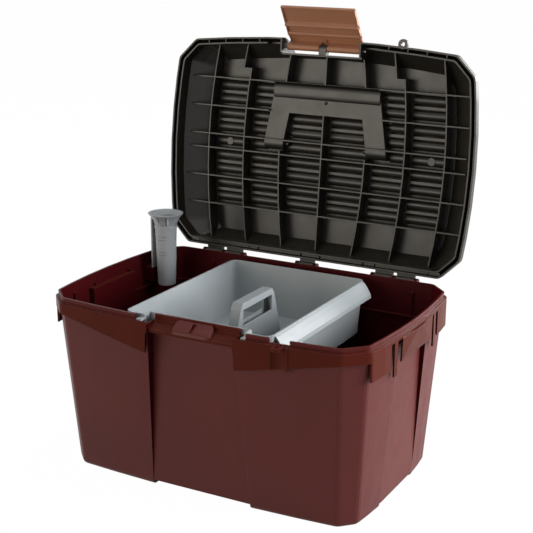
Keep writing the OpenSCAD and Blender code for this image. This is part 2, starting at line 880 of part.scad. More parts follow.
// The ribs from front to back: the second from each end steps to the left near the front
module long_ribs() {
    y0 = front_y - front_bow;
    y1 = rear_y + skirt_out;
    for (i = [-3:3]) {
        jogs = abs(i) == jog_rib;
        rib_strip(i, 0, jogs ? -jog_y : y0, y1);
        if (jogs) {
            x = rib_x(i, -jog_y);
            rib_strip(i, -jog_x, y0, -jog_y);
            block(x - jog_x - rib_t / 2, x + rib_t / 2, -jog_y - rib_t / 2, -jog_y + rib_t / 2,
                lid_z + rib_edge, lid_top);
        }
    }
}

module cross_ribs() {
    z0 = lid_z + rib_edge;
    for (r = rib_row_shares) {
        y = rib_middle_y - r * cross_gap;
        reaches = len(search(r, wall_row_shares)) > 0;
        half = reaches ? rim_x + side_bow : rib_reach;
        block(-half, half, y - rib_t / 2, y + rib_t / 2, z0, lid_top);
    }
}

// The wall inside the rim lip, open where the latch bay and the tray's ears are
module inner_wall() {
    out = -tub_wall - inner_wall_gap;
    z0 = lid_z + over;
    difference() {
        loft([[rim_ring(out), z0], [rim_ring(out), lid_z + inner_wall_h]]);
        loft([[rim_ring(out - inner_wall_t), z0 - over], [rim_ring(out - inner_wall_t), lid_top]]);
        block(-ear_gap_half, ear_gap_half, front_y - front_bow, front_y + rim_chamfer,
            z0 - over, lid_z + ear_gap_h);
    }
}

// Small webs across the groove between the lid's skirt and its inner wall
module rim_cells() {
    out = -tub_wall - inner_wall_gap;
    for (t = rim_cell_shares) {
        x = t * (rim_x - rim_chamfer);
        yf = front_y - bow_at(x);
        block(x - rim_cell_t / 2, x + rim_cell_t / 2, yf - skirt_out, yf - out,
            lid_z + rim_cell_low, lid_z + rim_cell_top);
        block(x - rim_cell_t / 2, x + rim_cell_t / 2, rear_y + out, rear_y + skirt_out + lid_rear,
            lid_z + rim_cell_low, lid_z + rim_cell_top);
    }
}

// Raised bars on the underside of the top panel: in each cell a crisp one between two soft round ones
module panel_bars() {
    step = cross_gap / 4;
    for (i = [-3:2]) for (row = bar_row_shares) {
        y = rib_middle_y - row * cross_gap;
        along_x(rib_x(i, y) + bar_end_gap, rib_x(i + 1, y) - bar_end_gap) {
            for (k = row == 0 ? [0] : [-1, 1])
                translate([y + k * step, lid_ceiling - soft_bar_h + soft_bar_r]) circle(r = soft_bar_r);
            if (row != 0)
                translate([y - crisp_bar_w / 2, lid_ceiling - crisp_bar_h])
                    square([crisp_bar_w, crisp_bar_h + lid_top_t / 2]);
        }
    }
}

module stamps() {
    for (x = stamp_xs) translate([x, rib_middle_y, lid_ceiling - stamp_h - soft_bar_h])
        cylinder(r = stamp_r, h = stamp_h + soft_bar_h + lid_top_t / 2);
}

// The pocket in the lid's front for the latch, open at the top, grown by its wall
module latch_pocket(grow) {
    block(-pocket_half - grow, pocket_half + grow, front_y - front_bow - skirt_out - over,
        -pocket_back + grow, lid_z - over * 2, lid_top + over);
}

// The pocket, with room under its back wall for the strip along the top of the tub's bay
module latch_pocket_cut() {
    difference() {
        latch_pocket(0);
        latch_knuckle();
    }
    far = pocket_half + lid_wall + over;
    block(-far, far, -pocket_back - slip, -pocket_back + lid_wall + over,
        lid_z - over, tub_h - strip_drop + slip);
}

module latch_knuckle() {
    rod(knuckle_r, -knuckle_half, knuckle_half, pivot_y, pivot_z);
    block(-knuckle_half, knuckle_half, pivot_y, -pocket_back + lid_wall / 2,
        pivot_z - knuckle_r, pivot_z + knuckle_r);
}

// The recess for the folded handle, seen from above: arms and finger room, grip trough and pivot ends
module recess_outline(grow) {
    recess_arms(grow);
    for (e = recess_rounds(grow)) for (s = e[4]) translate([s > 0 ? e[0] : -e[1], e[2] - e[3]])
        square([e[1] - e[0], e[3] * 2]);
}

module recess_arms(grow) {
    gap = recess_slip + grow;
    arm = handle_arm_w + gap * 2;
    y0 = grip_y;
    y1 = handle_pivot_y;
    yf = grip_y + grip_r + finger_room + grow;
    polygon([
        [-handle_half(y0) - gap, y0], [handle_half(y0) + gap, y0], [handle_half(y1) + gap, y1],
        [handle_half(y1) + gap - arm, y1], [handle_half(yf) + gap - arm, yf],
        [arm - gap - handle_half(yf), yf], [arm - gap - handle_half(y1), y1], [-handle_half(y1) - gap, y1]
    ]);
}

// The recess's round parts, the grip trough and the pivot ends: x from and to, y, radius and sides
function recess_rounds(grow) = let (gap = recess_slip + grow) [
    [-handle_half(grip_y) - gap, handle_half(grip_y) + gap, grip_y, grip_r + gap, [1]],
    [handle_half(handle_pivot_y) - handle_arm_w - gap, handle_half(handle_pivot_y) + gap,
        handle_pivot_y, handle_arm_r + gap, [-1, 1]]
];

// The recess itself, grown by its wall for the lid's inside
module handle_recess(grow) {
    top = lid_top + over;
    arm_floor = handle_pivot_z - handle_arm_r - recess_slip - grow;
    translate([0, 0, arm_floor]) linear_extrude(top - arm_floor) recess_arms(grow);
    for (e = recess_rounds(grow)) for (s = e[4]) {
        x0 = s > 0 ? e[0] : -e[1];
        x1 = x0 + e[1] - e[0];
        rod(e[3], x0, x1, e[2], handle_pivot_z);
        block(x0, x1, e[2] - e[3], e[2] + e[3], handle_pivot_z, top);
    }
}

module hinge_hooks() {
    for (x = [-outer_hinge_x - hook_offset, -outer_hinge_x + hook_offset, 0,
            outer_hinge_x - hook_offset, outer_hinge_x + hook_offset]) {
        rod(hook_r, x - hook_w / 2, x + hook_w / 2, hinge_y, hinge_z);
        block(x - hook_w / 2, x + hook_w / 2, hinge_y - hinge_back - lid_wall, hinge_y,
            hinge_z + slip, hinge_z + slip + hook_t - over);
    }
}

module hinge_bores() {
    r = hinge_r + pin_clearance;
    far = outer_hinge_x + outer_hinge_half;
    rod(r, -far, far, hinge_y, hinge_z);
}

module padlock_eye() {
    translate([padlock_x, padlock_y, lid_z]) cylinder(r = padlock_tab_r, h = deck_t);
    block(padlock_x - padlock_tab_r, padlock_x + padlock_tab_r, padlock_y, padlock_y + padlock_out + lid_wall,
        lid_z, lid_z + deck_t);
}

// Carry handle, folded into the lid

module carry_handle() {
    half0 = handle_half(grip_y);
    half1 = handle_half(handle_pivot_y);
    color(lid_colour) swing_open() union() {
        rod(grip_r, -half0, half0, grip_y, handle_pivot_z);
        both_sides() {
            translate([0, 0, handle_pivot_z - handle_arm_r]) linear_extrude(handle_arm_r * 2) polygon([
                [half0 - handle_arm_w, grip_y], [half0, grip_y], [half1, handle_pivot_y],
                [half1 - handle_arm_w, handle_pivot_y]
            ]);
            rod(handle_arm_r, half1 - handle_arm_w, half1, handle_pivot_y, handle_pivot_z);
        }
        handle_pins(0);
    }
}

module handle_pins(grow) {
    inner = handle_half(handle_pivot_y) - handle_arm_w;
    both_sides() rod(trunnion_r + grow, inner - trunnion_len, inner + over, handle_pivot_y, handle_pivot_z);
}

// Latch and its pin

module latch() {
    hook_z = -latch_hook_drop;
    rib_z = -latch_rib_drop;
    face = -latch_off;
    color(latch_colour) swing_open() translate([0, pivot_y, pivot_z]) rotate([-latch_rest, 0, 0])
    difference() {
        union() {
            along_x(-latch_w / 2, latch_w / 2) union() {
                circle(r = knuckle_r);
                translate([face - latch_t, -latch_len]) square([latch_t, latch_len + latch_top]);
                translate([face - over, latch_slot - knuckle_r])
                    square([latch_off + over, knuckle_r - latch_slot]);
                polygon([
                    [face - over, hook_z - latch_hook_h], [face - over, hook_z],
                    [face + latch_hook_in, hook_z], [face + latch_hook_in, hook_z - latch_hook_h / 2]
                ]);
                translate([face - over, rib_z - latch_rib_h]) square([latch_rib_in + over, latch_rib_h]);
            }
            block(-latch_w / 2, latch_w / 2, face - over, face + latch_flange_in,
                -latch_len, -latch_len + latch_flange);
            for (x = [-latch_w / 2, latch_w / 2 - latch_flange])
                block(x, x + latch_flange, face - over, face + latch_flange_in, -latch_len, -knuckle_r);
        }
        rod(latch_pin_r + pin_clearance, -latch_w, latch_w, 0, 0);
        block(-knuckle_half - slip, knuckle_half + slip, face, knuckle_r * 2,
            -knuckle_r - over, knuckle_r + over);
    }
}

module latch_pin() {
    half = pocket_half + lid_wall + over;
    color(steel_colour) swing_open() rod(latch_pin_r, -half, half, pivot_y, pivot_z);
}

// Tray

// A rounded corner from angle a0 to a1 about a centre
function corner(cx, cy, r, a0, a1) = [
    for (i = [0:corner_steps]) let (a = mix(a0, a1, i / corner_steps)) [cx + r * cos(a), cy + r * sin(a)]
];

// The tray's outline moved inwards, before the latch bay is cut out of its front
function tray_ring(inset) = let (
    x0 = tray_x - tray_w / 2 + inset, x1 = tray_x + tray_w / 2 - inset,
    y0 = shoulder_front + inset, y1 = tray_rear - inset, r = max(tray_corner_r - inset, tray_wall)
) concat(
    corner(x0 + r, y0 + r, r, 180, 270),
    corner(x1 - r, y0 + r, r, 270, 360),
    corner(x1 - r, y1 - r, r, 0, 90),
    corner(x0 + r, y1 - r, r, 90, 180)
);

// The room the tray leaves for the latch bay between its two front shoulders
module tray_front_gap(grow) {
    far = shoulder_front - tray_draft;
    low = shoulder_x + tray_draft + grow;
    top = shoulder_x + grow;
    loft([
        [rect(-low, low, far, tray_front + tray_draft + grow), tray_base - over],
        [rect(-top, top, far, tray_front + grow), tray_top + over * 2]
    ]);
}

module tray() {
    color(tray_colour) difference() {
        union() {
            difference() {
                loft([[tray_ring(tray_draft), tray_base], [tray_ring(0), tray_top]]);
                tray_front_gap(0);
                difference() {
                    loft([[tray_ring(tray_draft + tray_wall), tray_base + tray_floor_t],
                        [tray_ring(tray_wall), tray_top + over]]);
                    tray_front_gap(tray_wall);
                }
            }
            tray_handle_body(0);
            tray_ears();
            tray_flange();
        }
        tray_handle_body(tray_handle_wall);
        tray_window();
    }
}

// The hollow handle across the middle of the tray, open underneath
module tray_handle_body(inset) {
    top = tray_top - tray_handle_drop - inset;
    low = inset > 0 ? tray_base - over : tray_base + over;
    half_top = tray_handle_len / 2 - inset;
    half_low = half_top + tray_handle_flare;
    bevel = tray_handle_bevel - inset / 2;
    side = tray_handle_t / 2 - inset;
    translate([0, tray_handle_y, 0]) along_x(tray_handle_x - side, tray_handle_x + side) polygon([
        [-half_low, low], [half_low, low], [half_top + bevel / 4, top - bevel], [half_top - bevel / 2, top],
        [bevel / 2 - half_top, top], [-half_top - bevel / 4, top - bevel]
    ]);
}

module tray_window() {
    top = tray_top - tray_handle_drop - window_drop;
    half = tray_handle_len / 2 - window_margin;
    block(tray_handle_x - tray_handle_t, tray_handle_x + tray_handle_t,
        tray_handle_y - half, tray_handle_y + half, top - window_h, top);
}

module tray_ears() {
    for (s = [-1, 1]) {
        block(s * ear_x - ear_half, s * ear_x + ear_half, shoulder_front - ear_front,
            shoulder_front + tray_wall, ear_bottom, ear_bottom + ear_t);
        x = tray_x + s * rear_ear_x;
        block(x - rear_ear_half, x + rear_ear_half, tray_rear - tray_wall, tray_rear + ear_rear,
            ear_bottom, ear_bottom + ear_t);
    }
}

// The turned-down edge along the tray's right end
module tray_flange() {
    x0 = tray_x + tray_w / 2 - tray_wall;
    last = len(flange_run_shares) - 1;
    outer = [for (i = [0:last])
        [x0 + flange_run * flange_run_shares[i], tray_top - flange_fall * flange_fall_shares[i]]];
    inner = [for (i = [last:-1:0])
        outer[i] - [i == 0 ? 0 : flange_t, i == 0 ? flange_t : flange_t * (1 - i / last)]];
    along_y(shoulder_front + tray_corner_r, tray_rear - tray_corner_r + flange_ends)
        polygon(concat(outer, inner));
}

// Tool cup with its clip

module tool_cup() {
    color(cup_colour) translate([cup_x, cup_y, 0]) difference() {
        union() {
            cup_shell();
            cup_clip();
            cup_fins();
        }
        translate([0, 0, cup_bottom]) cup_bore();
        block(-slit_w / 2, slit_w / 2, -cup_rim_r - over, 0, cup_top - slit_h, cup_top - slit_drop);
    }
}

function cup_profile(inset) = [
    [0, 0], [cup_foot_r - inset, 0], [cup_neck_r - inset, cup_h - flare_h],
    [mix(cup_neck_r, cup_rim_r, flare_mid_r_share) - inset, mix(cup_h - flare_h, cup_h, flare_mid_share)],
    [cup_rim_r - inset, cup_h]
];

module cup_shell() {
    translate([0, 0, cup_bottom]) rotate_extrude() polygon(concat(cup_profile(0), [[0, cup_h]]));
    translate([0, 0, cup_top - flare_h - collar_h]) cylinder(r = cup_neck_r + collar_out, h = collar_h);
}

module cup_bore() {
    translate([0, 0, cup_floor_t]) rotate_extrude() polygon(concat(cup_profile(cup_wall), [[0, cup_h]]));
}

module cup_clip() {
    z1 = cup_top - clip_drop;
    block(-clip_out, -clip_out + clip_t, -clip_half, clip_half, z1 - clip_len, z1);
    block(-clip_out, -cup_neck_r, -clip_half, clip_half, z1 - clip_t, z1);
}

module cup_fins() {
    z1 = cup_top - flare_h * (1 - flare_mid_share);
    for (a = [-60, 0, 60, 120]) rotate([0, 0, a])
        block(cup_neck_r - cup_wall / 2, cup_neck_r + fin_out, -fin_t / 2, fin_t / 2, z1 - flare_h / 2, z1);
}

tub();
lid();
carry_handle();
latch();
latch_pin();
tray();
tool_cup();
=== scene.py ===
"""Horse grooming box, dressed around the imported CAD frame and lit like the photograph."""
from __future__ import annotations

import json
import logging
import math
from dataclasses import dataclass, field
from enum import Enum

import bmesh
import bpy
from mathutils import Matrix, Vector
from mathutils.bvhtree import BVHTree


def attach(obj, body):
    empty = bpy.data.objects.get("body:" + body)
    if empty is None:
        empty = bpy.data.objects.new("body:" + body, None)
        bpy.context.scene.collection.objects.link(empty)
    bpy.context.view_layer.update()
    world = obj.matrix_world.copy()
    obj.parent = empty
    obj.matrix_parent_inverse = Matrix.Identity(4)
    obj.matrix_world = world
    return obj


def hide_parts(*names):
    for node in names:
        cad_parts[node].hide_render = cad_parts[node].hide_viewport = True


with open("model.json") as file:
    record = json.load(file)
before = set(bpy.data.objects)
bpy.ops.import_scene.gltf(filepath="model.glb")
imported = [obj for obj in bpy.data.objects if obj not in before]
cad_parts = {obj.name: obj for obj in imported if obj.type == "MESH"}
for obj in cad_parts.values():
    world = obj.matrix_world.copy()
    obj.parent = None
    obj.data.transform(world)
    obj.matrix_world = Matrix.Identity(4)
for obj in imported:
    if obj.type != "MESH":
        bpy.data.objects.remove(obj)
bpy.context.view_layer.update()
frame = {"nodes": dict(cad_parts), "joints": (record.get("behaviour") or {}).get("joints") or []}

LOG = logging.getLogger("grooming_box")
# The sizes of the pieces are in millimetres and their turns in degrees, and MM is a millimetre in metres.
MM = 0.001
BEVEL_STEPS = 2
BEVEL_ANGLE = 40.0
SMOOTH_ANGLE = 30.0
DOME_LEVELS = (0.0, 20.0, 40.0, 60.0, 78.0)

Colour = tuple[float, float, float]
Point = tuple[float, float, float]
Scale = tuple[float, float, float]
Span = tuple[float, float]
Outline = list[tuple[float, float]]
Ring = list[Vector]


class Grain(Enum):
    """How a moulded surface is marked."""

    SATIN = "satin"
    STREAKED = "streaked"


class Zone(Enum):
    """The parts of the tub that the mould leaves with different finishes, and the inside, darkened as painted
    shade.
    """

    BODY = 0
    BAND = 1
    INSIDE = 2
    LIP = 3


class Graph:
    """A material's node tree, with short ways to add and join nodes."""

    def __init__(self, name: str) -> None:
        """Starts an empty node material.

        Args:
            name: the material's name.
        """
        self.material = bpy.data.materials.new(name)
        self.material.use_nodes = True
        self.tree = self.material.node_tree
        self.tree.nodes.clear()

    def add(self, kind: str, **values: object) -> bpy.types.Node:
        """Adds a node and sets its properties or inputs.

        Args:
            kind: the node's type without its ShaderNode prefix.
            values: properties by name, or inputs by name with _ for a blank.

        Returns:
            The new node.
        """
        node = self.tree.nodes.new("ShaderNode" + kind)
        for key, value in values.items():
            if hasattr(node, key):
                setattr(node, key, value)
            else:
                node.inputs[key.replace("_", " ")].default_value = value
        return node

    def join(self, source: bpy.types.NodeSocket, target: bpy.types.NodeSocket) -> None:
        """Links one socket to another."""
        self.tree.links.new(source, target)

    def mix(self, factor: bpy.types.NodeSocket, a: object, b: object) -> bpy.types.NodeSocket:
        """Mixes two colours.

        Args:
            factor: the socket that runs from a at 0 to b at 1.
            a: a colour or a socket.
            b: a colour or a socket.

        Returns:
            The mixed colour's socket.
        """
        node = self.tree.nodes.new("ShaderNodeMix")
        node.data_type = "RGBA"
        self.join(factor, node.inputs[0])
        # The colours of a Mix node are its inputs 6 and 7, and its output 2.
        for value, socket in ((a, node.inputs[6]), (b, node.inputs[7])):
            if isinstance(value, bpy.types.NodeSocket):
                self.join(value, socket)
            else:
                socket.default_value = (*value, 1.0)
        return node.outputs[2]

    def remap(self, source: bpy.types.NodeSocket, span: Span, result: Span) -> bpy.types.NodeSocket:
        """Maps a value from one range to another, clamped.

        Args:
            source: the value's socket.
            span: where the value's range starts and ends.
            result: what the start and the end become.

        Returns:
            The mapped value's socket.
        """
        node = self.add("MapRange", From_Min=span[0], From_Max=span[1], To_Min=result[0], To_Max=result[1])
        self.join(source, node.inputs["Value"])
        return node.outputs["Result"]

    def noise(self, scale: Scale, detail: float) -> bpy.types.NodeSocket:
        """Adds noise in the piece's own coordinates.

        Args:
            scale: cycles per metre along X, Y and Z.
            detail: how many finer layers it has.

        Returns:
            The noise value's socket.
        """
        place = self.add("TexCoord")
        mapping = self.add("Mapping")
        mapping.inputs["Scale"].default_value = scale
        self.join(place.outputs["Object"], mapping.inputs["Vector"])
        noise = self.add("TexNoise", Scale=1.0, Detail=detail)
        self.join(mapping.outputs["Vector"], noise.inputs["Vector"])
        return noise.outputs["Fac"]


@dataclass(frozen=True)
class Plastic:
    """A moulded plastic: its colour, how far it varies, its gloss, grain and rounded edges, with a highlight
    painted along them.
    """

    name: str
    colour: Colour
    # The flecks' colour, which is also the lighter colour of the highlight painted along the rounded edges.
    edge: Colour
    rough: float
    specular: float
    edge_radius: float
    # How far the painted edge highlight goes towards that colour, and the turns of the rounded normal over
    # which it comes in.
    edge_highlight_share: float = 0.4
    edge_highlight_span: Span = (0.97, 0.8)
    edge_samples: int = 4
    grain: Grain = Grain.SATIN
    grain_pitch: float = 0.8 * MM
    grain_depth: float = 0.02 * MM
    grain_detail: float = 3.0
    streak_share: float = 0.02
    deep_share: float = 0.86
    cloud_scale: Scale = (9.0, 9.0, 7.0)
    cloud_detail: float = 3.0
    cloud_span: Span = (0.35, 0.65)
    speck_scale: float = 420.0
    speck_detail: float = 2.0
    speck_span: Span = (0.62, 0.8)
    speck_share: float = 0.12
    gloss_scale: float = 60.0
    gloss_detail: float = 4.0
    gloss_span: Span = (0.3, 0.7)
    gloss_vary: float = 0.04

    def tint(self, graph: Graph, rounded: bpy.types.Node) -> bpy.types.NodeSocket:
        """Clouds and flecks the colour, and lightens it along the edges as a painted highlight.

        Args:
            graph: the material's node tree.
            rounded: the node that gives the rounded edges' direction.

        Returns:
            The colour's socket.
        """
        deep = tuple(c * self.deep_share for c in self.colour)
        cloud = graph.noise(self.cloud_scale, self.cloud_detail)
        speck = graph.noise((self.speck_scale,) * 3, self.speck_detail)
        tint = graph.mix(graph.remap(cloud, self.cloud_span, (0.0, 1.0)), deep, self.colour)
        tint = graph.mix(graph.remap(speck, self.speck_span, (0.0, self.speck_share)), tint, self.edge)
        surface = graph.add("NewGeometry")
        dot = graph.add("VectorMath", operation="DOT_PRODUCT")
        graph.join(rounded.outputs["Normal"], dot.inputs[0])
        graph.join(surface.outputs["Normal"], dot.inputs[1])
        # Painted highlight: the colour is lightened where the rounded normal turns away from the face's own.
        painted_edge_highlight = graph.remap(dot.outputs["Value"], self.edge_highlight_span, (0.0, self.edge_highlight_share))
        return graph.mix(painted_edge_highlight, tint, self.edge)

    def gloss(self, graph: Graph) -> bpy.types.NodeSocket:
        """Varies the roughness a little.

        Args:
            graph: the material's node tree.

        Returns:
            The roughness's socket.
        """
        noise = graph.noise((self.gloss_scale,) * 3, self.gloss_detail)
        rough = (self.rough - self.gloss_vary, self.rough + self.gloss_vary)
        return graph.remap(noise, self.gloss_span, rough)

    def relief(self, graph: Graph, rounded: bpy.types.Node) -> bpy.types.NodeSocket:
        """Raises the grain on top of the rounded edges.

        Args:
            graph: the material's node tree.
            rounded: the node that gives the rounded edges' direction.

        Returns:
            The surface direction's socket.
        """
        pitch = 1.0 / self.grain_pitch
        along = pitch * self.streak_share if self.grain is Grain.STREAKED else pitch
        bump = graph.add("Bump", Strength=1.0)
        bump.inputs["Distance"].default_value = self.grain_depth
        graph.join(graph.noise((along, pitch, pitch), self.grain_detail), bump.inputs["Height"])
        graph.join(rounded.outputs["Normal"], bump.inputs["Normal"])
        return bump.outputs["Normal"]

    def material(self) -> bpy.types.Material:
        """Builds the finish as a node material.

        Returns:
            The material.
        """
        graph = Graph(self.name)
        out = graph.add("OutputMaterial")
        shader = graph.add("BsdfPrincipled")
        shader.inputs["Specular IOR Level"].default_value = self.specular
        rounded = graph.add("Bevel", samples=self.edge_samples)
        rounded.inputs["Radius"].default_value = self.edge_radius
        graph.join(self.tint(graph, rounded), shader.inputs["Base Color"])
        graph.join(self.gloss(graph), shader.inputs["Roughness"])
        graph.join(self.relief(graph, rounded), shader.inputs["Normal"])
        graph.join(shader.outputs["BSDF"], out.inputs["Surface"])
        return graph.material


BURGUNDY = Plastic(
    "burgundy_grained", (0.1, 0.0185, 0.0158), (0.19, 0.07, 0.06), rough=0.48, specular=0.2,
    edge_radius=1.2 * MM, grain_pitch=0.9 * MM, grain_depth=0.03 * MM)
BURGUNDY_BAND = Plastic(
    "burgundy_polished", (0.083, 0.0128, 0.0064), (0.27, 0.13, 0.11), rough=0.36, specular=0.06,
    edge_radius=0.8 * MM, edge_highlight_share=0.5, grain_depth=0.008 * MM)
BURGUNDY_LIP = Plastic(
    "burgundy_lip", (0.09, 0.012, 0.0095), (0.2, 0.08, 0.065), rough=0.33, specular=0.13,
    edge_radius=0.8 * MM, edge_highlight_share=0.5, grain_depth=0.008 * MM)
# A darker copy of the tub's burgundy for its inside and the keyhole's well: painted shade.
BURGUNDY_SHADED_INSIDE = Plastic(
    "burgundy_painted_shade_inside", (0.054, 0.0034, 0.005), (0.08, 0.012, 0.012), rough=0.42, specular=0.05,
    edge_radius=0.9 * MM, grain_depth=0.008 * MM)
BLACK = Plastic(
    "black_grained", (0.025, 0.022, 0.0175), (0.045, 0.04, 0.033), rough=0.34, specular=0.4,
    edge_radius=0.7 * MM, edge_highlight_share=0.5, grain_pitch=0.7 * MM)
COPPER = Plastic(
    "copper_brown", (0.42, 0.19, 0.105), (0.58, 0.28, 0.165), rough=0.38, specular=0.3,
    edge_radius=0.5 * MM, edge_highlight_share=0.6, grain=Grain.STREAKED, grain_depth=0.04 * MM)
LIGHT_GREY = Plastic(
    "light_grey", (0.39, 0.424, 0.442), (0.52, 0.55, 0.565), rough=0.42, specular=0.3, edge_radius=1.0 * MM)
MID_GREY = Plastic(
    "mid_grey", (0.41, 0.44, 0.466), (0.5, 0.52, 0.54), rough=0.4, specular=0.3,
    edge_radius=0.7 * MM, edge_highlight_share=0.5)
# A dark grey that paints shade: the cup's fine lines and the slit beside its gusset.
SHADE_GREY = Plastic(
    "painted_shade_grey", (0.12, 0.125, 0.135), (0.2, 0.21, 0.22), rough=0.5, specular=0.3, edge_radius=0.3 * MM)


@dataclass(frozen=True)
class DrawnSteel:
    """Plain drawn steel rod with fine marks along it."""

    name: str = "drawn_steel"
    colour: Colour = (0.55, 0.55, 0.56)
    dull_share: float = 0.85
    rough: float = 0.3
    rough_vary: float = 0.08
    mark_scale: Scale = (30.0, 2500.0, 2500.0)
    mark_detail: float = 2.0
    mark_span: Span = (0.3, 0.7)

    def material(self) -> bpy.types.Material:
        """Builds the finish as a node material.

        Returns:
            The material.
        """
        graph = Graph(self.name)
        out = graph.add("OutputMaterial")
        shader = graph.add("BsdfPrincipled")
        shader.inputs["Metallic"].default_value = 1.0
        graph.join(shader.outputs["BSDF"], out.inputs["Surface"])
        marks = graph.noise(self.mark_scale, self.mark_detail)
        rough = (self.rough - self.rough_vary, self.rough + self.rough_vary)
        graph.join(graph.remap(marks, self.mark_span, rough), shader.inputs["Roughness"])
        dull = tuple(c * self.dull_share for c in self.colour)
        graph.join(graph.mix(marks, self.colour, dull), shader.inputs["Base Color"])
        return graph.material


class Moulding:
    """A new piece under construction, made of skinned rings in millimetres."""

    def __init__(self, name: str) -> None:
        """Starts an empty piece.

        Args:
            name: the piece's name.
        """
        self.name = name
        self.bm = bmesh.new()

    def loft(self, rings: list[Ring], caps: tuple[bool, bool] = (True, True)) -> None:
        """Skins rings that have the same number of points.

        Args:
            rings: the rings, in order along the form.
            caps: whether the first and the last ring are closed.
        """
        loops = [[self.bm.verts.new(p * MM) for p in ring] for ring in rings]
        count = len(loops[0])
        for low, high in zip(loops, loops[1:]):
            for i in range(count):
                j = (i + 1) % count
                self.bm.faces.new((low[i], low[j], high[j], high[i]))
        if caps[0]:
            self.bm.faces.new(list(reversed(loops[0])))
        if caps[1]:
            self.bm.faces.new(loops[-1])

    def sweep(self, outline: Outline, x0: float, x1: float) -> None:
        """Runs a closed outline of y and z along X.

        Args:
            outline: the outline's points.
            x0: where the run starts.
            x1: where it ends.
        """
        self.loft([[Vector((x, y, z)) for y, z in outline] for x in (x0, x1)])

    def finish(self, body: str, slot: str, material: bpy.types.Material, place: Matrix = Matrix(),
               bevel: float = 0.0) -> bpy.types.Object:
        """Hands the piece to the frame.

        Args:
            body: the body that it rides on.
            slot: not used; names a material slot in the record.
            material: its finish.
            place: where its own coordinates lie in the frame.
            bevel: the radius of its rounded edges in millimetres.

        Returns:
            The finished object.
        """
        bmesh.ops.recalc_face_normals(self.bm, faces=self.bm.faces[:])
        mesh = bpy.data.meshes.new(self.name)
        self.bm.transform(place)
        self.bm.to_mesh(mesh)
        self.bm.free()
        mesh.materials.append(material)
        smooth(mesh)
        piece = bpy.data.objects.new(self.name, mesh)
        bpy.context.scene.collection.objects.link(piece)
        if bevel:
            rounded = piece.modifiers.new("rounded_edges", "BEVEL")
            rounded.width = bevel * MM
            rounded.segments = BEVEL_STEPS
            rounded.limit_method = "ANGLE"
            rounded.angle_limit = math.radians(BEVEL_ANGLE)
        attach(piece, body)
        LOG.info("built %s on %s", self.name, body)
        return piece


def smooth(mesh: bpy.types.Mesh) -> None:
    """Shades a mesh smooth across every edge that turns less than the smoothing angle."""
    mesh.polygons.foreach_set("use_smooth", [True] * len(mesh.polygons))
    mesh.set_sharp_from_angle(angle=math.radians(SMOOTH_ANGLE))


def box_outline(ys: Span, zs: Span) -> Outline:
    """Draws an oblong of y and z."""
    (y0, y1), (z0, z1) = ys, zs
    return [(y0, z0), (y1, z0), (y1, z1), (y0, z1)]


def circle(centre: Vector, across: Vector, along: Vector, steps: int) -> Ring:
    """Makes a ring of points on an ellipse.

    Args:
        centre: its middle.
        across: the half axis where it starts.
        along: the other half axis.
        steps: how many points it has.

    Returns:
        The ring.
    """
    turns = (math.tau * i / steps for i in range(steps))
    return [centre + across * math.cos(a) + along * math.sin(a) for a in turns]


def dome(foot: Vector, up: Vector, across: Vector, along: Vector, steps: int = 20) -> list[Ring]:
    """Makes the rings of a low round nub.

    Args:
        foot: the middle of its foot.
        up: its height, as a vector.
        across: half its width, as a vector.
        along: half its length, as a vector.
        steps: how many points each ring has.

    Returns:
        The rings from the foot up.
    """
    levels = [math.radians(level) for level in DOME_LEVELS]
    return [circle(foot + up * math.sin(a), across * math.cos(a), along * math.cos(a), steps) for a in levels]


def barrel(ends: Span, pin: Span, bore: float, outer: float, edge: float, steps: int) -> list[Ring]:
    """Makes the rings of a hinge barrel along X, round the outside and back through its bore.

    Args:
        ends: where it starts and ends along X.
        pin: the y and z of its middle line.
        bore: the radius of its bore.
        outer: its outer radius.
        edge: the size of the slope at its outer edges.
        steps: how many points each ring has.

    Returns:
        The rings, the first one repeated at the end.
    """
    x0, x1 = ends
    profile = ((x0, bore), (x0, outer - edge), (x0 + edge, outer), (x1 - edge, outer), (x1, outer - edge),
               (x1, bore), (x0, bore))
    return [circle(Vector((x, *pin)), Vector((0, r, 0)), Vector((0, 0, r)), steps) for x, r in profile]


def joint(name: str) -> dict:
    """Finds a joint of the record by its name."""
    return next(j for j in frame["joints"] if j["name"] == name)


def dress(node: str, *materials: bpy.types.Material) -> bpy.types.Mesh:
    """Gives a CAD node its finishes.

    Args:
        node: the node's name.
        materials: the finishes, the main one first.

    Returns:
        The node's mesh.
    """
    mesh = frame["nodes"][node].data
    mesh.materials.clear()
    for material in materials:
        mesh.materials.append(material)
    smooth(mesh)
    LOG.info("dressed %s with %s", node, ", ".join(m.name for m in materials))
    return mesh


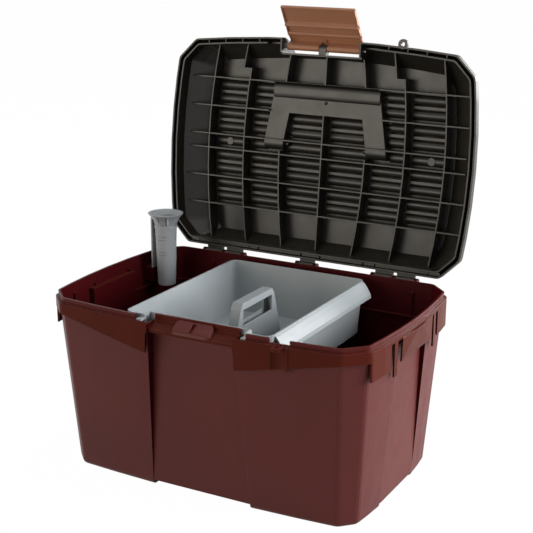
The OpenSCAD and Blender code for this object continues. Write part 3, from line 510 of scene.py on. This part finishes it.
@dataclass
class Tub:
    """The burgundy tub: its four finishes, the inside one a darker colour that paints shade, the catch plate
    on the latch shelf and the pips on its lip.
    """

    finishes: dict[Zone, bpy.types.Material]
    rim_z: float = 214.0
    band_low: float = 160.0
    lip_low: float = 206.5
    floor_high: float = 20.0
    upright_share: float = 0.5
    inward_share: float = 0.02
    plate_half: float = 23.0
    plate_back: float = 123.0
    plate_front: float = 136.5
    plate_rise: float = 3.1
    plate_lift: float = 3.4
    plate_corner: float = 4.0
    # How far each ring of the plate lies inside its outline, and its share of the plate's height
    plate_rings: tuple[Span, ...] = ((-1.6, 0.0), (-1.2, 0.45), (-0.5, 0.85), (0.5, 1.0))
    shelf_z: float = 198.5
    shelf_rise: float = 7.0
    shelf_back: float = 122.0
    shelf_run: float = 16.0
    key_round: float = 3.4
    key_step: float = 2.5
    key_waist_share: float = 0.62
    key_reach_rate: float = 2.2
    key_waist_rate: float = 1.6
    # How far each ring of the keyhole and its well grows past the outline, and its depth
    key_rings: tuple[Span, ...] = ((0.5, 0.0), (0.0, 0.3), (-0.1, 1.9))
    well_rings: tuple[Span, ...] = ((0.3, 2.3), (0.3, 1.9), (-1.2, 1.8))
    ring_steps: int = 48
    pip_r: float = 1.0
    pip_h: float = 1.3
    pip_sunk: float = 0.4
    pip_steps: int = 12
    pips: tuple[Span, ...] = ((131.0, -132.8), (199.9, -98.0), (204.3, -53.6), (205.0, 43.9))

    def zone(self, low: float, centre: Vector, normal: Vector) -> Zone:
        """Tells which finish a face has.

        Args:
            low: the height of the face's lowest corner.
            centre: the face's middle.
            normal: the face's direction.

        Returns:
            The face's zone.
        """
        outward = normal.x * centre.x + normal.y * centre.y
        on_floor = normal.z > self.upright_share and centre.z < self.floor_high * MM
        # Faces that look inwards, and the floor inside, get the darker inside colour: painted shade.
        if on_floor or outward < -self.inward_share * centre.xy.length:
            return Zone.INSIDE
        if low > self.lip_low * MM:
            return Zone.LIP
        return Zone.BAND if low > self.band_low * MM else Zone.BODY

    def dress(self) -> None:
        """Gives each face of the tub the finish of its zone."""
        mesh = dress("tub", *(self.finishes[z] for z in Zone))
        for face in mesh.polygons:
            low = min(mesh.vertices[i].co.z for i in face.vertices)
            face.material_index = self.zone(low, face.center, face.normal).value

    def on_shelf(self, x: float, y: float, share: float, drop: float) -> Vector:
        """Places a point over the sloping shelf, on the plate that rises towards the back.

        Args:
            x: where it is along the shelf.
            y: where it is across the shelf.
            share: its share of the plate's height.
            drop: how far it lies below that.

        Returns:
            The point.
        """
        back = (y + self.shelf_back + self.shelf_run) / self.shelf_run
        height = self.plate_rise + self.plate_lift * back
        return Vector((x, y, self.shelf_z + self.shelf_rise * back + height * share - drop))

    def plate_ring(self, inset: float, share: float) -> Ring:
        """Makes a rounded oblong around the plate.

        Args:
            inset: how far it lies inside the plate's outline.
            share: its share of the plate's height.

        Returns:
            The ring.
        """
        middle = (self.plate_back + self.plate_front) / 2
        half = (self.plate_front - self.plate_back) / 2
        ring = []
        r = self.plate_corner
        for i in range(self.ring_steps):
            c, s = math.cos(math.tau * i / self.ring_steps), math.sin(math.tau * i / self.ring_steps)
            x = math.copysign(self.plate_half - r, c) + (r - inset) * c
            y = math.copysign(half - r, s) + (r - inset) * s
            ring.append(self.on_shelf(x, y - middle, share, 0.0))
        return ring

    def key_ring(self, grow: float, drop: float) -> Ring:
        """Makes the keyhole's outline, two rounds that run together.

        Args:
            grow: how far it grows past the keyhole's own outline.
            drop: how far it lies below the plate's face.

        Returns:
            The ring.
        """
        middle = (self.plate_back + self.plate_front) / 2
        ring = []
        r = self.key_round + grow
        for i in range(self.ring_steps):
            c, s = math.cos(math.tau * i / self.ring_steps), math.sin(math.tau * i / self.ring_steps)
            reach = math.copysign(self.key_step, s) * min(1.0, abs(s) * self.key_reach_rate)
            widest = min(1.0, abs(s) * self.key_waist_rate)
            waist = self.key_waist_share + (1.0 - self.key_waist_share) * widest
            ring.append(self.on_shelf(r * waist * c, reach - middle + r * s, 1.0, drop))
        return ring

    def build_catch_plate(self) -> None:
        """Builds the flat plate with a keyhole on the sloping shelf of the latch bay."""
        plate = Moulding("catch_plate")
        rings = [self.plate_ring(*r) for r in self.plate_rings] + [self.key_ring(*r) for r in self.key_rings]
        plate.loft(rings, (True, False))
        plate.finish("tub", "tub", self.finishes[Zone.BODY])
        # The keyhole's well takes the darker inside colour: painted shade.
        well = Moulding("catch_well")
        well.loft([self.key_ring(*r) for r in self.well_rings])
        well.finish("tub", "tub", self.finishes[Zone.INSIDE])

    def build_pips(self) -> None:
        """Builds the small pips on top of the lip."""
        pips = Moulding("lip_pips")
        across, along = Vector((self.pip_r, 0, 0)), Vector((0, self.pip_r, 0))
        for x, y in self.pips:
            foot = Vector((x, y, self.rim_z - self.pip_sunk))
            pips.loft(dome(foot, Vector((0, 0, self.pip_h)), across, along, self.pip_steps))
        pips.finish("tub", "tub", self.finishes[Zone.BAND])

    def build(self) -> None:
        """Dresses the tub and builds its small pieces."""
        self.dress()
        self.build_catch_plate()
        self.build_pips()


@dataclass
class Lid:
    """The black lid: the bars on its panel, the grip trough and its nub, the hinge leaves and the hinge band.

    Its sizes are those of the shut lid, and each piece is then carried to where the lid stands open.
    """

    material: bpy.types.Material
    lid_z: float = 208.5
    ceiling: float = 249.5
    middle_y: float = -2.2
    rib_gap: float = 52.7
    rib_count: int = 3
    cross_gap: float = 36.8
    side_bow: float = 7.5
    bow_half: float = 107.0
    band_half: float = 178.0
    band_y: Span = (126.7, 131.0)
    band_rise: Span = (6.1, 8.0)
    band_edge: float = 0.2
    slit_xs: tuple[float, ...] = (-163.0, -88.0, -74.0, -12.0, 15.0, 75.0, 91.0, 163.0)
    slit_half: float = 0.9
    # The rows of bars, in cross gaps in front of the middle, and what the handle's recess takes up in a row
    bar_rows: tuple[float, ...] = (-1.75, -0.75, 0.0, 0.75, 1.75)
    recess_rows: dict[float, Span] = field(
        default_factory=lambda: {1.75: (0.0, 78.8), 0.75: (50.4, 85.3), 0.0: (57.8, 86.2)})
    bar_end: float = 4.0
    bar_steps: int = 14
    bar_skirt: float = 0.3
    bar_sunk: float = 0.8
    bar_edge: float = 0.25
    soft_half: float = 6.4
    soft_h: float = 4.0
    low_h: float = 2.4
    crisp_half: float = 2.0
    crisp_draft: float = 0.2
    crisp_foot: float = 0.1
    trough_y: float = -74.5
    trough_z: float = 244.2
    trough_r: float = 11.0
    trough_wall: float = 1.4
    trough_half: float = 74.0
    trough_power: float = 0.62
    trough_steps: int = 24
    trough_edge: float = 0.3
    leaves: tuple[Span, ...] = ((-147.4, -123.6), (-118.4, -94.6), (-10.4, 10.4), (94.6, 118.4),
                                (123.6, 147.4))
    leaf_y: Span = (-10.6, -4.0)
    leaf_z: Span = (0.6, 3.6)
    barrel_bore: float = 3.3
    barrel_r: float = 5.35
    barrel_edge: float = 0.5
    barrel_steps: int = 28
    nub_y: float = -62.6
    nub_z: float = 235.5
    nub_sunk: float = 0.5
    nub_r: float = 2.3
    nub_h: float = 3.0

    def hand_over(self, piece: Moulding, bevel: float = 0.0) -> None:
        """Carries a piece of the shut lid to where the lid stands open, and finishes it.

        Args:
            piece: the piece.
            bevel: the radius of its rounded edges.
        """
        hinge = joint("lid_hinge")
        pin = Vector(hinge["pos_m"])
        turn = Matrix.Rotation(math.radians(hinge["range_deg"][0]), 4, "X")
        opened = Matrix.Translation(pin) @ turn @ Matrix.Translation(-pin)
        piece.finish("lid", "lid", self.material, opened, bevel)

    def build_band(self) -> None:
        """Builds the band between the two rims along the hinges, parted by narrow slits."""
        low, high = self.band_rise
        section = box_outline(self.band_y, (self.lid_z + low, self.lid_z + high))
        band = Moulding("hinge_band")
        ends = (-self.band_half, *self.slit_xs, self.band_half)
        for x0, x1 in zip(ends, ends[1:]):
            band.sweep(section, x0 + self.slit_half, x1 - self.slit_half)
        self.hand_over(band, self.band_edge)

    def rib_x(self, i: int, y: float) -> float:
        """Gives where a long rib runs, bowed out like the lid's sides.

        Args:
            i: the rib's number, 0 in the middle.
            y: the place along it.

        Returns:
            Its x.
        """
        side = (i > 0) - (i < 0)
        return i * self.rib_gap + side * self.side_bow * (1 - (y / self.bow_half) ** 2)

    def bar_outline(self, y: float, flat: bool) -> Outline:
        """Draws the section of a cell's bars: a crisp one between two round ones, or a low round one alone.

        Args:
            y: the middle of the cell.
            flat: whether it is the low row.

        Returns:
            The section's points as y and z.
        """
        height = self.low_h if flat else self.soft_h
        r = (self.soft_half ** 2 + height ** 2) / (2 * height)
        reach = math.asin(self.soft_half / r)
        turns = [reach * (2 * k / self.bar_steps - 1.0) for k in range(self.bar_steps + 1)]
        points = [(r * math.sin(t), r * math.cos(t) - r + height) for t in turns]
        if not flat:
            step, top = self.cross_gap / 4, self.crisp_half
            foot = top + self.crisp_draft
            crisp = [(-foot, self.crisp_foot), (-top, height), (top, height), (foot, self.crisp_foot)]
            points = [(u - step, h) for u, h in points] + crisp + [(u + step, h) for u, h in points]
        first, last = points[0][0] - self.bar_skirt, points[-1][0] + self.bar_skirt
        ends = [(last, -self.bar_sunk), (first, -self.bar_sunk)]
        return [(y + u, self.ceiling - h) for u, h in points + ends]

    def free_spans(self, x0: float, x1: float, row: float) -> list[Span]:
        """Leaves out of a cell what the handle's recess takes up.

        Args:
            x0: where the cell starts.
            x1: where it ends.
            row: the cell's row.

        Returns:
            The spans that are left.
        """
        low, high = self.recess_rows.get(row, (0.0, 0.0))
        spans = [(x0, x1)]
        for a, b in ((-high, -low), (low, high)):
            parts = [part for p, q in spans for part in ((p, min(q, a)), (max(p, b), q))]
            spans = [(p, q) for p, q in parts if q - p > self.bar_end]
        return spans

    def build_bars(self) -> None:
        """Builds the bars on the inside of the top panel, cell by cell."""
        bars = Moulding("panel_bars")
        for row in self.bar_rows:
            y = self.middle_y - row * self.cross_gap
            section = self.bar_outline(y, row == 0.0)
            for i in range(-self.rib_count, self.rib_count):
                ends = self.rib_x(i, y) + self.bar_end, self.rib_x(i + 1, y) - self.bar_end
                for x0, x1 in self.free_spans(*ends, row):
                    bars.sweep(section, x0, x1)
        self.hand_over(bars, self.bar_edge)

    def build_trough(self) -> None:
        """Builds the flattened skin of the trough that the handle's grip lies in."""
        r, p, inner = self.trough_r, self.trough_power, self.trough_r - self.trough_wall
        turns = [math.pi * k / self.trough_steps for k in range(1, self.trough_steps)]
        skin = [(math.copysign(abs(math.cos(t)) ** p, math.cos(t)) * r, math.sin(t) ** p * r) for t in turns]
        bore = [(math.cos(t) * inner, math.sin(t) * inner) for t in reversed(turns)]
        trough = Moulding("grip_trough")
        trough.sweep([(self.trough_y + u, self.trough_z - v) for u, v in skin + bore],
                     -self.trough_half, self.trough_half)
        self.hand_over(trough, self.trough_edge)

    def build_leaves(self) -> None:
        """Builds the hinge barrels between the tub's lugs and the leaves that carry them."""
        pin_y, pin_z = (c / MM for c in joint("lid_hinge")["pos_m"][1:])
        section = [(pin_y + y, pin_z + z) for y, z in box_outline(self.leaf_y, self.leaf_z)]
        leaves = Moulding("hinge_leaves")
        for ends in self.leaves:
            leaves.loft(barrel(ends, (pin_y, pin_z), self.barrel_bore, self.barrel_r, self.barrel_edge,
                               self.barrel_steps), (False, False))
            leaves.sweep(section, *ends)
        self.hand_over(leaves)

    def build_nub(self) -> None:
        """Builds the round nub where the grip trough meets the handle plate."""
        nub = Moulding("trough_nub")
        foot = Vector((0, self.nub_y, self.nub_z + self.nub_sunk))
        across, along = Vector((self.nub_r, 0, 0)), Vector((0, self.nub_r, 0))
        nub.loft(dome(foot, Vector((0, 0, -self.nub_h)), across, along))
        self.hand_over(nub)

    def build(self) -> None:
        """Dresses the lid and builds its small pieces."""
        dress("lid", self.material)
        self.build_bars()
        self.build_trough()
        self.build_leaves()
        self.build_band()
        self.build_nub()


@dataclass
class CarryHandle:
    """The black fold-down handle in the lid's recess."""

    material: bpy.types.Material

    def build(self) -> None:
        """Dresses the handle."""
        dress("carry_handle", self.material)


@dataclass
class Latch:
    """The copper-brown latch, drawn hanging from its pin, with rounded ridges, and the steel pin's ends."""

    material: bpy.types.Material
    steel: bpy.types.Material
    half: float = 50.0
    face: float = -9.3
    thick: float = 2.2
    length: float = 54.0
    top: float = 3.0
    edge: float = 0.25
    sunk: float = 0.5
    # The tip's points, from the inner face and the tip
    tip: tuple[Span, ...] = ((-1.9, 0.5), (-1.2, 0.0), (2.0, 0.0), (2.4, 0.5), (2.4, 1.6), (0.3, 1.9))
    # The catch ridge's points, from the inner face and the hooking edge
    catch: tuple[Span, ...] = ((0.0, -5.6), (3.0, -3.2), (4.0, -2.0), (4.0, -0.8), (3.3, 0.0), (0.5, 0.0),
                               (0.0, 0.5))
    catch_drop: float = 26.2
    ridge_drop: float = 14.0
    ridge_half: float = 3.2
    ridge_in: float = 2.8
    ridge_steps: int = 8
    flange: float = 1.6
    flange_in: float = 2.4
    flange_lift: float = 0.4
    gap_half: float = 5.5
    web_low: float = 3.0
    web_high: float = 0.4
    barrel_r: float = 4.2
    barrel_bore: float = 2.08
    barrel_edge: float = 0.3
    barrel_steps: int = 32
    nub_x: float = 0.6
    nub_drop: float = 5.6
    nub_sunk: float = 0.1
    nub_h: float = 2.3
    nub_half: Span = (1.3, 2.4)
    pin_r: float = 2.0
    pin_end: float = 55.4
    pin_out: float = 1.9

    @staticmethod
    def hung() -> Matrix:
        """Works out how the hanging latch is carried to where it rests in the photograph.

        Returns:
            The turn and shift as one matrix.
        """
        pivot = joint("latch_hinge")
        turn = joint("lid_hinge")["range_deg"][0] + pivot["range_deg"][0]
        return Matrix.Translation(Vector(pivot["pos_m"])) @ Matrix.Rotation(math.radians(turn), 4, "X")

    def outline(self) -> Outline:
        """Draws the plate's section: the outer face, the rounded tip, the catch ridge and the round ridge.

        Returns:
            The section's points as y and z.
        """
        tip = [(self.face + y, z - self.length) for y, z in self.tip]
        catch = [(self.face + y, z - self.catch_drop) for y, z in self.catch]
        turns = [math.pi * i / self.ridge_steps for i in range(self.ridge_steps + 1)]
        ridge = [(self.face + self.ridge_in * math.sin(a), -self.ridge_drop - self.ridge_half * math.cos(a))
                 for a in turns]
        return [(self.face - self.thick, self.top), *tip, *catch, *ridge, (self.face, self.top)]

    def add_flanges(self, plate: Moulding) -> None:
        """Adds the low walls along the plate's two sides.

        Args:
            plate: the piece that they are added to.
        """
        low, foot, inner = self.flange_lift - self.length, self.face - self.sunk, self.face + self.flange_in
        section = [(foot, low), (inner, low), (inner, -self.ridge_drop), (foot, -self.barrel_r)]
        for x0 in (-self.half, self.half - self.flange):
            plate.sweep(section, x0, x0 + self.flange)

    def add_barrels(self, plate: Moulding) -> None:
        """Adds the two barrels around the pin and the webs that carry them.

        Args:
            plate: the piece that they are added to.
        """
        web = box_outline((self.face - self.sunk, -self.barrel_bore), (-self.web_low, -self.web_high))
        for ends in ((-self.half, -self.gap_half), (self.gap_half, self.half)):
            plate.sweep(web, *ends)
            plate.loft(barrel(ends, (0.0, 0.0), self.barrel_bore, self.barrel_r, self.barrel_edge,
                              self.barrel_steps), (False, False))

    def build_plate(self) -> None:
        """Builds the latch in place of its CAD node."""
        plate = Moulding("latch_plate")
        plate.sweep(self.outline(), -self.half, self.half)
        self.add_flanges(plate)
        self.add_barrels(plate)
        across, along = self.nub_half
        foot = Vector((self.nub_x, self.face - self.nub_sunk, -self.nub_drop))
        plate.loft(dome(foot, Vector((0, self.nub_h, 0)), Vector((across, 0, 0)), Vector((0, 0, along))))
        piece = plate.finish("latch", "latch", self.material, self.hung(), self.edge)
        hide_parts("latch")

    def build_pin_ends(self) -> None:
        """Builds the rounded ends of the steel pin beside the latch pocket."""
        ends = Moulding("pin_ends")
        for side in (-1.0, 1.0):
            ends.loft(dome(Vector((side * self.pin_end, 0, 0)), Vector((side * self.pin_out, 0, 0)),
                           Vector((0, self.pin_r, 0)), Vector((0, 0, self.pin_r))))
        ends.finish("lid", "steel", self.steel, self.hung())

    def build(self) -> None:
        """Builds the latch and dresses its pin."""
        dress("latch", self.material)
        dress("latch_pin", self.steel)
        self.build_plate()
        self.build_pin_ends()


@dataclass
class Tray:
    """The light grey lift-out tray."""

    material: bpy.types.Material

    def build(self) -> None:
        """Dresses the tray."""
        dress("tray", self.material)


@dataclass
class ToolCup:
    """The grey cup: fine lines on its body, darkened as painted shade, and the gusset and the slit under its
    flare, the slit a dark strip of painted shadow.
    """

    material: bpy.types.Material
    shadow: bpy.types.Material
    skin: BVHTree | None = None
    centre: Vector = field(default_factory=lambda: Vector((-172.0, 81.0, 0.0)))
    rim_r: float = 22.5
    sunk: float = 0.5
    line_zs: tuple[float, ...] = (241.0, 236.5, 220.5, 216.5)
    line_turns: Span = (-106.0, -55.0)
    line_steps: int = 12
    line_h: float = 0.2
    line_out: float = 0.3
    seam_zs: Span = (257.0, 267.5)
    seam_steps: int = 6
    seam_turn: float = -53.0
    seam_w: float = 7.0
    seam_set: float = 1.2
    seam_edge: float = 0.1
    slit_shadow_w: float = 4.5
    slit_out: float = 0.12

    @staticmethod
    def parted(span: Span, steps: int) -> list[float]:
        """Parts a span into equal steps, with both its ends."""
        low, high = span
        return [low + (high - low) * i / steps for i in range(steps + 1)]

    def at(self, turn: float, r: float, z: float) -> Vector:
        """Places a point by its turn about the cup's middle line.

        Args:
            turn: the turn in degrees.
            r: the distance from the middle line.
            z: the height.

        Returns:
            The point.
        """
        a = math.radians(turn)
        return Vector((self.centre.x + r * math.cos(a), self.centre.y + r * math.sin(a), z))

    def skin_r(self, turn: float, z: float) -> float:
        """Finds the radius of the cup's own skin.

        Args:
            turn: the turn about the cup's middle line, in degrees.
            z: the height.

        Returns:
            The radius in millimetres.
        """
        start = self.at(turn, self.rim_r * 2, z)
        inward = (self.centre - start).xy.to_3d().normalized()
        hit = self.skin.ray_cast(start * MM, inward)[0] / MM
        return (hit - self.centre).xy.length

    def patch(self, piece: Moulding, turns: list[float], zs: list[float], out: float,
              least_r: float = 0.0) -> None:
        """Adds a thin patch that follows the cup's skin.

        Args:
            piece: the piece that it is added to.
            turns: the turns that it covers, in order.
            zs: the heights that it covers, in order.
            out: how far it stands off the skin.
            least_r: the radius that its face keeps where the skin falls back.
        """
        rings = []
        for turn in turns:
            skin = [(self.skin_r(turn, z), z) for z in zs]
            rings.append([self.at(turn, max(r + out, least_r), z) for r, z in skin]
                         + [self.at(turn, r - self.sunk, z) for r, z in reversed(skin)])
        piece.loft(rings)

    def build_lines(self) -> None:
        """Builds the two pairs of fine lines on the body, in the dark grey that paints their shade."""
        turns = self.parted(self.line_turns, self.line_steps)
        lines = Moulding("cup_lines")
        for z in self.line_zs:
            self.patch(lines, turns, [z - self.line_h, z + self.line_h], self.line_out)
        # The lines take the dark grey that paints their shade.
        lines.finish("tool_cup", "cup", self.shadow)

    def build_seam(self) -> None:
        """Builds the upright gusset under the flare and the slit beside it, a dark strip of painted shadow.
        """
        zs = self.parted(self.seam_zs, self.seam_steps)
        face = self.skin_r(self.seam_turn, zs[-1]) - self.seam_set
        seam = Moulding("cup_seam")
        self.patch(seam, [self.seam_turn, self.seam_turn + self.seam_w], zs, self.slit_out, face)
        seam.finish("tool_cup", "cup", self.material, bevel=self.seam_edge)
        # A dark strip beside the gusset: painted shadow.
        slit = Moulding("cup_slit_shadow")
        self.patch(slit, [self.seam_turn - self.slit_shadow_w, self.seam_turn], zs, self.slit_out)
        slit.finish("tool_cup", "cup", self.shadow)

    def build(self) -> None:
        """Dresses the cup and builds its small pieces."""
        mesh = dress("tool_cup", self.material)
        self.skin = BVHTree.FromPolygons([v.co for v in mesh.vertices], [p.vertices for p in mesh.polygons])
        self.build_lines()
        self.build_seam()


@dataclass(frozen=True)
class Softbox:
    """A soft studio light: where it stands and what it faces in metres, its size, power and colour."""

    name: str
    place: Point
    aim: Point
    size: Span
    power: float
    colour: Colour = (1.0, 1.0, 1.0)

    def build(self) -> None:
        """Hangs the light."""
        data = bpy.data.lights.new(self.name, "AREA")
        data.shape = "RECTANGLE"
        data.size, data.size_y = self.size
        data.energy = self.power
        data.color = self.colour
        light = bpy.data.objects.new(self.name, data)
        light.location = self.place
        light.rotation_mode = "QUATERNION"
        light.rotation_quaternion = (Vector(self.aim) - Vector(self.place)).to_track_quat("-Z", "Y")
        bpy.context.scene.collection.objects.link(light)


@dataclass
class Studio:
    """The floor, the lights and the camera at the photograph's viewing angle, in metres and degrees."""

    camera_place: Point = (0.6683, -1.1836, 0.6388)
    azimuth: float = 27.516
    tilt: float = 72.841
    roll: float = 0.547
    sensor: float = 36.0
    lens: float = 82.01
    shift: Span = (-0.0458, 0.0380)
    floor_half: float = 40.0
    floor_grey: float = 0.36
    floor_white: float = 1.04
    white_share: float = 0.95
    room_light: float = 0.2
    back_light: float = 0.8
    softboxes: tuple[Softbox, ...] = (
        Softbox("right_softbox", (1.95, 0.55, 0.85), (0.15, 0.0, 0.12), (0.9, 1.2), 54.0),
        Softbox("right_rear_softbox", (1.0, 1.7, 0.8), (0.35, 0.4, 0.05), (1.2, 1.0), 44.0),
        Softbox("front_left_softbox", (-1.1, -1.95, 0.55), (0.0, 0.15, 0.35), (1.9, 1.0), 22.0,
                (1.0, 0.92, 0.79)),
        Softbox("top_softbox", (0.0, -0.3, 2.2), (0.0, 0.0, 0.2), (1.6, 1.6), 8.0))

    def build_camera(self) -> None:
        """Places the camera where the photograph was taken from."""
        data = bpy.data.cameras.new("photo_camera")
        data.sensor_width = self.sensor
        data.lens = self.lens
        data.shift_x, data.shift_y = self.shift
        camera = bpy.data.objects.new("photo_camera", data)
        turn = (Matrix.Rotation(math.radians(self.azimuth), 4, "Z")
                @ Matrix.Rotation(math.radians(self.tilt), 4, "X")
                @ Matrix.Rotation(math.radians(self.roll), 4, "Z"))
        camera.matrix_world = Matrix.Translation(self.camera_place) @ turn
        bpy.context.scene.collection.objects.link(camera)
        bpy.context.scene.camera = camera

    @staticmethod
    def seen_rays(tree: bpy.types.NodeTree) -> bpy.types.NodeSocket:
        """Picks out the rays that see the background: the camera's, and those off gloss or through glass.

        Args:
            tree: the node tree that the rays are picked out in.

        Returns:
            A socket that is 1 for those rays and 0 for the rest.
        """
        path = tree.nodes.new("ShaderNodeLightPath")
        total = path.outputs["Is Camera Ray"]
        for kind in ("Is Glossy Ray", "Is Transmission Ray"):
            either = tree.nodes.new("ShaderNodeMath")
            either.operation = "MAXIMUM"
            tree.links.new(total, either.inputs[0])
            tree.links.new(path.outputs[kind], either.inputs[1])
            total = either.outputs["Value"]
        return total

    def build_floor(self) -> None:
        """Lays a plain pale floor that looks white and keeps a soft shadow."""
        mesh = bpy.data.meshes.new("floor")
        h = self.floor_half
        mesh.from_pydata([(-h, -h, 0), (h, -h, 0), (h, h, 0), (-h, h, 0)], [], [(0, 1, 2, 3)])
        floor = bpy.data.objects.new("floor", mesh)
        bpy.context.scene.collection.objects.link(floor)
        graph = Graph("pale_floor")
        out = graph.add("OutputMaterial")
        matt = graph.add("BsdfDiffuse")
        matt.inputs["Color"].default_value = (self.floor_grey, self.floor_grey, self.floor_grey, 1.0)
        glow = graph.add("Emission", Strength=self.floor_white)
        blend = graph.add("MixShader")
        seen = graph.add("Math", operation="MULTIPLY")
        graph.join(self.seen_rays(graph.tree), seen.inputs[0])
        seen.inputs[1].default_value = self.white_share
        graph.join(seen.outputs["Value"], blend.inputs["Fac"])
        graph.join(matt.outputs["BSDF"], blend.inputs[1])
        graph.join(glow.outputs["Emission"], blend.inputs[2])
        graph.join(blend.outputs["Shader"], out.inputs["Surface"])
        mesh.materials.append(graph.material)

    def build_world(self) -> None:
        """Fills the room with soft light, and shows a brighter one where the background is seen."""
        world = bpy.data.worlds.new("studio_room")
        bpy.context.scene.world = world
        world.use_nodes = True
        tree = world.node_tree
        tree.nodes.clear()
        out = tree.nodes.new("ShaderNodeOutputWorld")
        blend = tree.nodes.new("ShaderNodeMixShader")
        tree.links.new(self.seen_rays(tree), blend.inputs["Fac"])
        for socket, strength in ((1, self.room_light), (2, self.back_light)):
            light = tree.nodes.new("ShaderNodeBackground")
            light.inputs["Color"].default_value = (1.0, 1.0, 1.0, 1.0)
            light.inputs["Strength"].default_value = strength
            tree.links.new(light.outputs["Background"], blend.inputs[socket])
        tree.links.new(blend.outputs["Shader"], out.inputs["Surface"])

    def build(self) -> None:
        """Builds the whole studio."""
        bpy.context.scene.view_settings.view_transform = "Standard"
        self.build_camera()
        self.build_floor()
        self.build_world()
        for softbox in self.softboxes:
            softbox.build()


def main() -> None:
    """Builds and dresses every piece in order."""
    logging.basicConfig(level=logging.INFO)
    Studio().build()
    black = BLACK.material()
    finishes = {Zone.BODY: BURGUNDY, Zone.BAND: BURGUNDY_BAND, Zone.INSIDE: BURGUNDY_SHADED_INSIDE,
                Zone.LIP: BURGUNDY_LIP}
    Tub({zone: finish.material() for zone, finish in finishes.items()}).build()
    Lid(black).build()
    CarryHandle(black).build()
    Latch(COPPER.material(), DrawnSteel().material()).build()
    Tray(LIGHT_GREY.material()).build()
    ToolCup(MID_GREY.material(), SHADE_GREY.material()).build()


if __name__ == "__main__":
    main()
